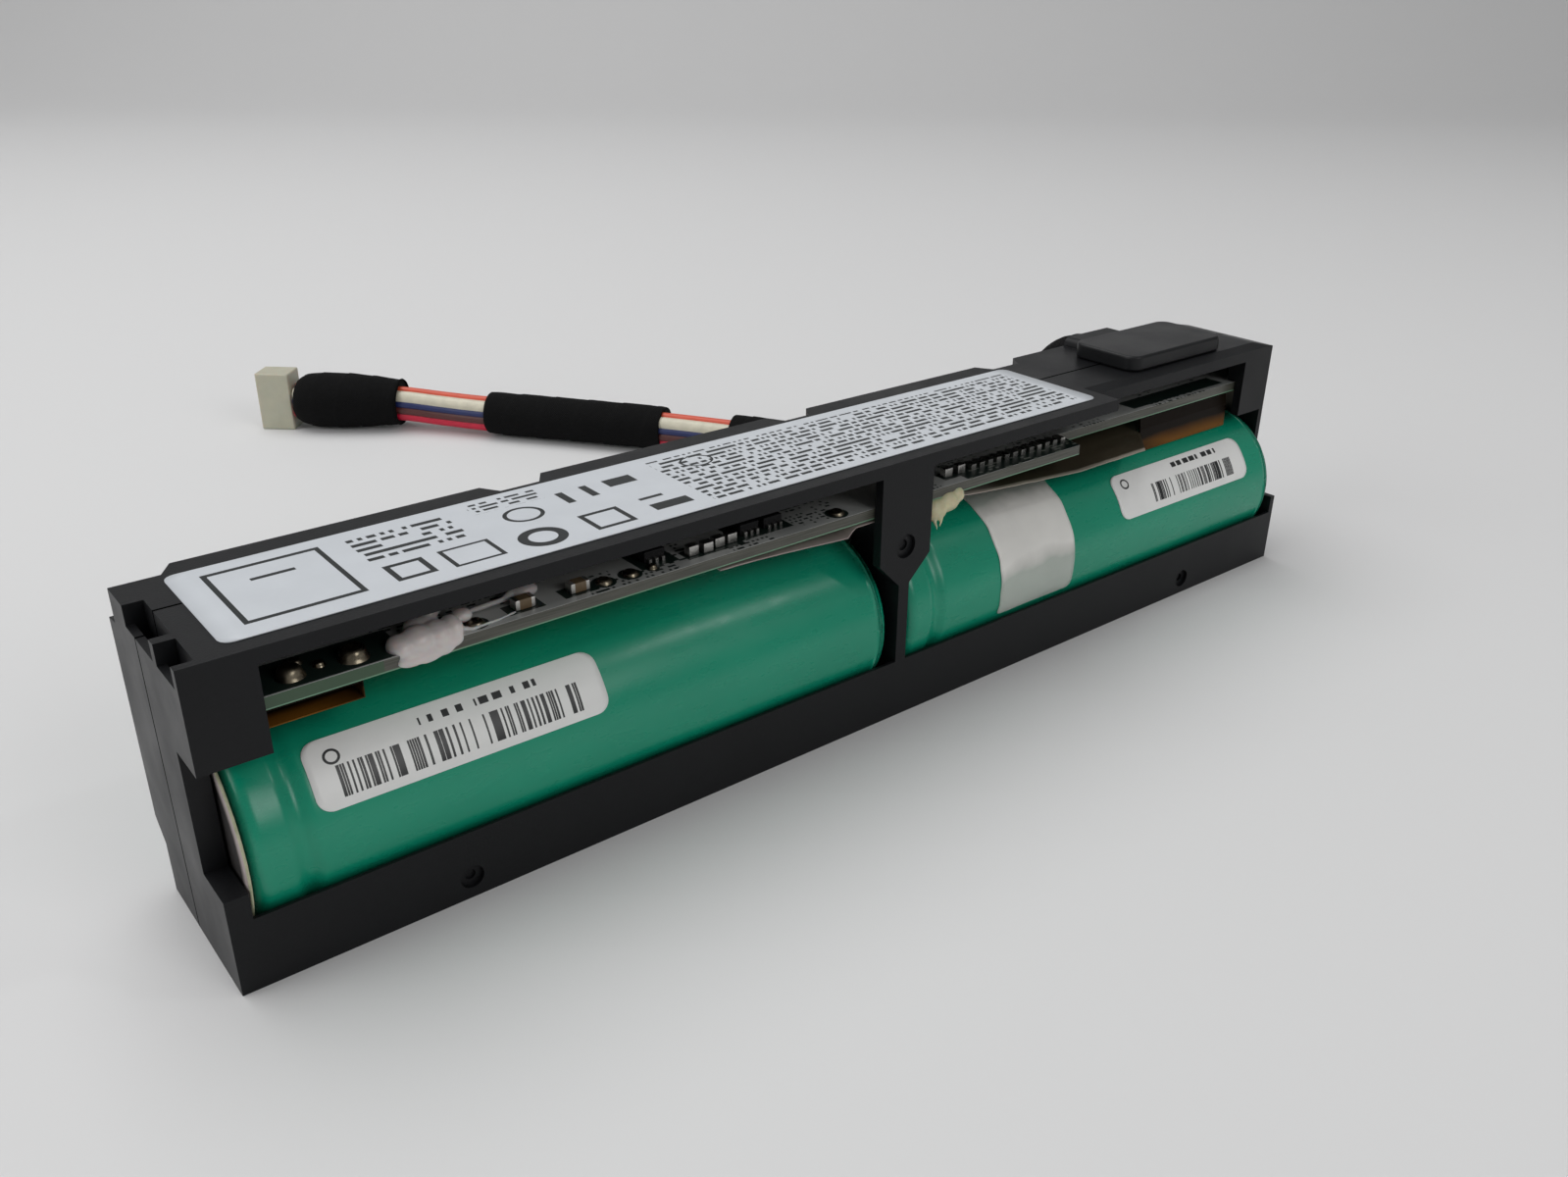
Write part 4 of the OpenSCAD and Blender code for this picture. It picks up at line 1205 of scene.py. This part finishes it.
def boardFinish(name, topLevel, thick):
    # pale mask with dark fields and rings on top, painted glints near the right, and laminate layers round the edge
    material, tree, shader = startMaterial(name, board["mask"][1], board["roughness"][1])
    point = objectPoint(tree)
    x, y, z = frameMillimetres(tree)
    normal = addNode(tree, "ShaderNodeNewGeometry").outputs["Normal"]
    up = addNode(tree, "ShaderNodeSeparateXYZ", {"Vector": normal}).outputs["Z"]
    cloud = noiseNode(tree, point, 90, 4)
    mask = mixColour(tree, remap(tree, cloud, 0.35, 0.65), *board["mask"])
    patchy = mathNode(tree, "GREATER_THAN", noiseNode(tree, point, 170, 1), board["letterPatches"])
    words = mathNode(tree, "MULTIPLY", randomDashes(tree, x, y, *board["letters"]), patchy)
    fields = mathNode(tree, "LESS_THAN", nearest(tree, x, y, board["darkFields"], True), 1.0)
    pads = [(a, b, r, r) for a, b, r in padSpots]
    rings = mathNode(tree, "LESS_THAN", nearest(tree, x, y, pads), board["ringSize"])
    dark = fold(tree, "MAXIMUM", [fields, rings, words])
    mask = mixColour(tree, dark, mask, board["dark"])
    # painted glints: small light dots in x from 80 to 98.5
    glintDots = mathNode(tree, "MULTIPLY", randomDashes(tree, x, y, *board["glintDots"]),
                      inRange(tree, x, *board["glintSpan"]))
    mask = mixColour(tree, glintDots, mask, board["glintColour"])
    layer = remap(tree, z, topLevel - thick, topLevel)
    fibre = noiseNode(tree, objectPoint(tree, (0.15, 1, 6)), 1500)
    edge = mottled(tree, fibre, *board["edge"])
    edge = mixColour(tree, mathNode(tree, "LESS_THAN", x, board["greenUpTo"]), edge, board["greenEdge"])
    edge = mixColour(tree, mathNode(tree, "LESS_THAN", layer, board["footShare"]), edge, board["foot"])
    paint(tree, shader, mixColour(tree, remap(tree, up, 0.4, 0.6), edge, mask))
    tree.links.new(remap(tree, cloud, *noiseSpan, *board["roughness"]), shader.inputs["Roughness"])
    sunk = mathNode(tree, "MULTIPLY", dark, board["darkSunk"])
    addBump(tree, shader, mathNode(tree, "SUBTRACT", cloud, sunk), board["depth"])
    return material


# the blocks' middles along the frame, and how far the tan body reaches from each
blocks = {"middles": (28.3, 33.6, 90, 92), "bodyHalf": 0.55, "cap": (0.58, 0.57, 0.54),
          "body": ((0.10, 0.065, 0.03), (0.19, 0.13, 0.07)), "roughness": 0.38, "depth": 0.00002}


def cappedCeramic(name):
    # tan blocks with a tinned cap on each end
    material, tree, shader = startMaterial(name, blocks["body"][1], blocks["roughness"])
    x = frameMillimetres(tree)[0]
    away = fold(tree, "MINIMUM", [mathNode(tree, "ABSOLUTE", mathNode(tree, "SUBTRACT", x, middle))
                                  for middle in blocks["middles"]])
    cap = mathNode(tree, "GREATER_THAN", away, blocks["bodyHalf"])
    mottle = noiseNode(tree, objectPoint(tree), 1500)
    body = mixColour(tree, mottle, *blocks["body"])
    paint(tree, shader, mixColour(tree, cap, body, blocks["cap"]))
    tree.links.new(cap, shader.inputs["Metallic"])
    addBump(tree, shader, mottle, blocks["depth"])
    return material


tanCeramic = cappedCeramic("tanCeramic")

boardLow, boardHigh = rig.box("circuit_board")
boardTop = (boardHigh.z - base) / mm
boardThick = (boardHigh.z - boardLow.z) / mm
softened("circuit_board", 0.06, boardFinish("boardFinish", boardTop, boardThick), "board_laminate")
softened("controller_chip", 0.08, chipBlack, "chip_black")
softened("power_chips", 0.1, chipBlack, "chip_black")
softened("chip_capacitors", 0.1, tanCeramic, "ceramic_tan")
softened("chip_resistors", 0.1, tinnedMetal, "solder")
softened("sense_fuse", 0.15, paleCeramic, "ceramic_white")

boardFinishes = {"chip_legs": tinnedMetal, "pin_row": tinnedMetal, "wire_lugs": solderMetal,
                 "thermistor": chipBlack}
for node, material in boardFinishes.items():
    dress(node, material)

# each joint's x and y, radius, height and dent; the small drops sit on the first padSpots
drop = {"rings": 14, "turns": 36, "foot": 0.12, "footShare": 6, "roundness": 0.55, "dentFrom": 0.72,
        "lumpy": 0.05, "tip": 0.02,
        "joints": [(8.6, 3.2, 1.05, 1.0, 0.05), (13.6, 3.2, 1.15, 1.05, 0.25)],
        "padCount": 7, "padShare": 0.95, "padHeight": 0.42, "padDent": 0.14}


def latheDrop(x, y, radius, height, dent):
    # a drop of solder: low foot, round shoulder and a dent where the lead was cut
    rows = []
    for i in range(drop["rings"] + 1):
        t = i / drop["rings"]
        foot = 1 + drop["foot"] * (1 - min(1, t * drop["footShare"]))
        r = max(drop["tip"], radius * foot * math.cos(t * math.pi / 2) ** drop["roundness"])
        dip = dent * max(0.0, t - drop["dentFrom"]) / (1 - drop["dentFrom"])
        z = boardTop + height * math.sin(t * math.pi / 2) - dip
        row = []
        for j in range(drop["turns"]):
            a = 2 * math.pi * j / drop["turns"]
            lump = 1 + drop["lumpy"] * noise.noise((x + math.cos(a), y + math.sin(a), t * 2))
            row.append(at(x + r * lump * math.cos(a), y + r * lump * math.sin(a), z))
        rows.append(row)
    return gridPiece("drop", rows, solderMetal, loop=True)


def makeDrops(name, node, spots):
    drops = [latheDrop(*spot) for spot in spots]
    attach(joinMeshes(name, drops), "solder", node)


makeDrops("solder_joint_drops", "solder_joints", drop["joints"])
makeDrops("solder_pad_drops", "solder_pads", [
    (x, y, r * drop["padShare"], drop["padHeight"], drop["padDent"])
    for x, y, r in padSpots[:drop["padCount"]]])

sheet = {
    "pale": ((0.30, 0.24, 0.23), (0.46, 0.38, 0.36)), "brownShade": (0.045, 0.035, 0.022),
    "rim": (0.34, 0.30, 0.25), "rimSpan": (1.75, 2.1), "brownShadeFrom": (78.0, 86.0),
    "roughness": 0.45, "shine": 0.25, "depth": 0.00003,
    # its shape: how far it reaches before its node, its level, wall and steps
    "forward": 0.35, "level": 22.92, "wall": 0.1, "steps": (28, 120),
    # the right end, cut back in front of the amber tape and run on behind it
    "cutBack": 4.0, "slant": 3.9, "slantDepth": 3.8, "runOn": 3.6, "runOnFrom": 5.9, "runOnDepth": 1.3,
    # the front edge droops towards the centre post, and again beyond the board's middle
    "rest": 0.15, "postDroop": 0.95, "postReach": 16, "postAt": 63.2, "postWidth": 0.8,
    "endDroop": 1.85, "droopFrom": 78, "droopReach": 20, "fadeDepth": 11, "ripple": 0.06,
}


def shadedSheet(name):
    # pinkish grey film; beyond the centre post brown, partly the film's own amber and partly painted shade under the
    # board, with a pale rim
    material, tree, shader = startMaterial(name, sheet["pale"][1], sheet["roughness"],
                                           Specular_IOR_Level=sheet["shine"])
    x, y = frameMillimetres(tree)[:2]
    mottle = noiseNode(tree, objectPoint(tree), 400, 4)
    pale = mixColour(tree, mottle, *sheet["pale"])
    # painted shade: past the post the film darkens to brown, partly its amber colour and partly the shadow under the
    # board
    brownShade = mixColour(tree, remap(tree, y, *sheet["rimSpan"]), sheet["rim"], sheet["brownShade"])
    paint(tree, shader, mixColour(tree, remap(tree, x, *sheet["brownShadeFrom"]), pale, brownShade))
    addBump(tree, shader, mottle, sheet["depth"])
    return material


paleSheet = shadedSheet("paleSheet")


def makeSheet():
    # thin sheet under the board
    low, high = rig.box("board_sheet")
    startX = (low.x - left) / mm
    tapeX = (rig.box("right_amber_tape")[0].x - left) / mm
    nodeY, endY = [(v.y - face) / mm for v in (low, high)]
    startY = nodeY - sheet["forward"]
    stepsY, stepsX = sheet["steps"]
    rows = []
    for i in range(stepsY + 1):
        y = startY + (endY - startY) * (i / stepsY) ** 1.6
        slant = sheet["slant"] * min(1.0, (y - startY) / sheet["slantDepth"])
        runOn = sheet["runOn"] * clamp((y - sheet["runOnFrom"]) / sheet["runOnDepth"])
        endX = tapeX - sheet["cutBack"] + slant + runOn
        front = max(0.0, 1 - ((y - nodeY) / sheet["fadeDepth"]) ** 2)
        row = []
        for j in range(stepsX + 1):
            x = startX + (endX - startX) * j / stepsX
            towards = clamp((x - startX) / sheet["postReach"]) ** 1.5
            past = clamp((x - sheet["postAt"]) / sheet["postWidth"])
            beyond = clamp((x - sheet["droopFrom"]) / sheet["droopReach"]) ** 0.8
            droop = sheet["rest"] + sheet["postDroop"] * towards * (1 - past) + sheet["endDroop"] * beyond
            ripple = sheet["ripple"] * noise.noise((x * 0.5, y * 0.6, 1.0))
            row.append(at(x, y, sheet["level"] + (ripple - droop) * front))
        rows.append(row)
    attach(gridPiece("board_sheet_soft", rows, paleSheet, sheet["wall"]), "pale_sheet", "board_sheet")


# lumps give a middle and three radii, strands a path of points that each have a radius
blob = {"balls": 3, "strandBalls": 2, "strandSteps": 8, "smoothing": 0.5, "smoothSteps": 8}

sealantBead = {
    "voxel": 0.13, "rough": 0.06,
    "lumps": [
        (17.1, 2.4, 24.3, 1.15, 1.4, 1.0), (18.6, 2.4, 24.45, 1.6, 1.45, 1.2),
        (20.2, 2.4, 24.5, 1.4, 1.45, 1.15), (21.5, 2.3, 24.75, 0.85, 1.3, 1.05),
        (21.3, 1.5, 24.15, 0.85, 0.6, 0.7), (17.5, 1.25, 23.5, 1.25, 0.45, 0.6),
        (18.8, 1.25, 23.5, 1.4, 0.45, 0.65), (20.2, 1.3, 23.7, 1.1, 0.42, 0.65),
        (19.6, 3.9, 24.8, 1.6, 1.1, 0.9), (22.9, 3.3, 25.0, 0.9, 0.8, 0.6), (29.4, 4.6, 24.9, 1.2, 0.8, 0.6),
    ],
    "strands": [
        [(20.5, 4.2, 25.6, 0.7), (22.6, 5.0, 26.4, 0.5), (24.4, 5.6, 27.0, 0.35)],
        [(21.5, 3.4, 24.5, 0.5), (24.2, 4.3, 24.6, 0.3), (27.2, 4.4, 24.7, 0.3), (29.2, 5.2, 25.0, 0.55)],
        [(21.8, 2.4, 24.4, 0.35), (23.0, 1.7, 24.35, 0.22), (25.4, 1.9, 24.35, 0.2), (27.4, 2.3, 24.4, 0.16)],
        [(29.5, 5.4, 25.5, 0.5), (31.5, 5.6, 26.3, 0.38), (33.6, 5.4, 26.8, 0.34), (35.6, 5.0, 27.2, 0.3)],
    ],
}

glueBead = {
    "voxel": 0.1, "rough": 0.07,
    "lumps": [
        (75.1, 1.5, 21.9, 1.55, 1.15, 1.2), (76.9, 1.6, 22.4, 1.6, 1.15, 1.15),
        (78.2, 1.7, 22.8, 1.1, 1.0, 0.95),
    ],
    "strands": [
        [(74.6, 0.9, 21.0, 0.25), (74.7, 0.7, 20.5, 0.15), (74.8, 0.6, 20.0, 0.1)],
        [(75.6, 0.9, 21.0, 0.22), (75.4, 0.75, 20.6, 0.14), (75.1, 0.65, 20.3, 0.1)],
    ],
}


def addBall(mass, detail, middle, radii):
    ball = bmesh.ops.create_icosphere(mass, subdivisions=detail, radius=1.0)["verts"]
    for vert in ball:
        vert.co = at(*[m + c * r for m, c, r in zip(middle, vert.co, radii)])


def makeBead(node, bead, material, slotName):
    # overlapping ellipsoids and pulled strands melted into one soft mass
    mass = bmesh.new()
    for lump in bead["lumps"]:
        addBall(mass, blob["balls"], lump[:3], lump[3:])
    for path in bead["strands"]:
        for start, end in zip(path, path[1:]):
            for k in range(blob["strandSteps"]):
                t = k / blob["strandSteps"]
                *middle, r = [p + (q - p) * t for p, q in zip(start, end)]
                addBall(mass, blob["strandBalls"], middle, (r, r, r))
    name = node + "_soft"
    mesh = bpy.data.meshes.new(name)
    mass.to_mesh(mesh)
    mass.free()
    piece = addObject(name, mesh)
    melt = piece.modifiers.new("melt", "REMESH")
    melt.mode = "VOXEL"
    melt.voxel_size = bead["voxel"] * mm
    melt.use_smooth_shade = True
    flow = piece.modifiers.new("flow", "SMOOTH")
    flow.factor = blob["smoothing"]
    flow.iterations = blob["smoothSteps"]
    settle(piece)
    piece.data.materials.append(material)
    for vert in piece.data.vertices:
        place = vert.co / mm
        push = noise.noise(place * 0.9) * 0.7 + noise.noise(place * 2.6) * 0.3
        vert.co = vert.co + vert.normal * (bead["rough"] * push * mm)
    attach(piece, slotName, node)


makeSheet()
makeBead("silicone_bead", sealantBead, sealant, "silicone_white")
makeBead("glue_bead", glueBead, hardGlue, "glue_cream")
print("board is made")

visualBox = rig.bounds()
with open("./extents.json", "w") as out:
    json.dump({"cad": [list(p) for p in cadBox], "visual": [list(p) for p in visualBox]}, out)
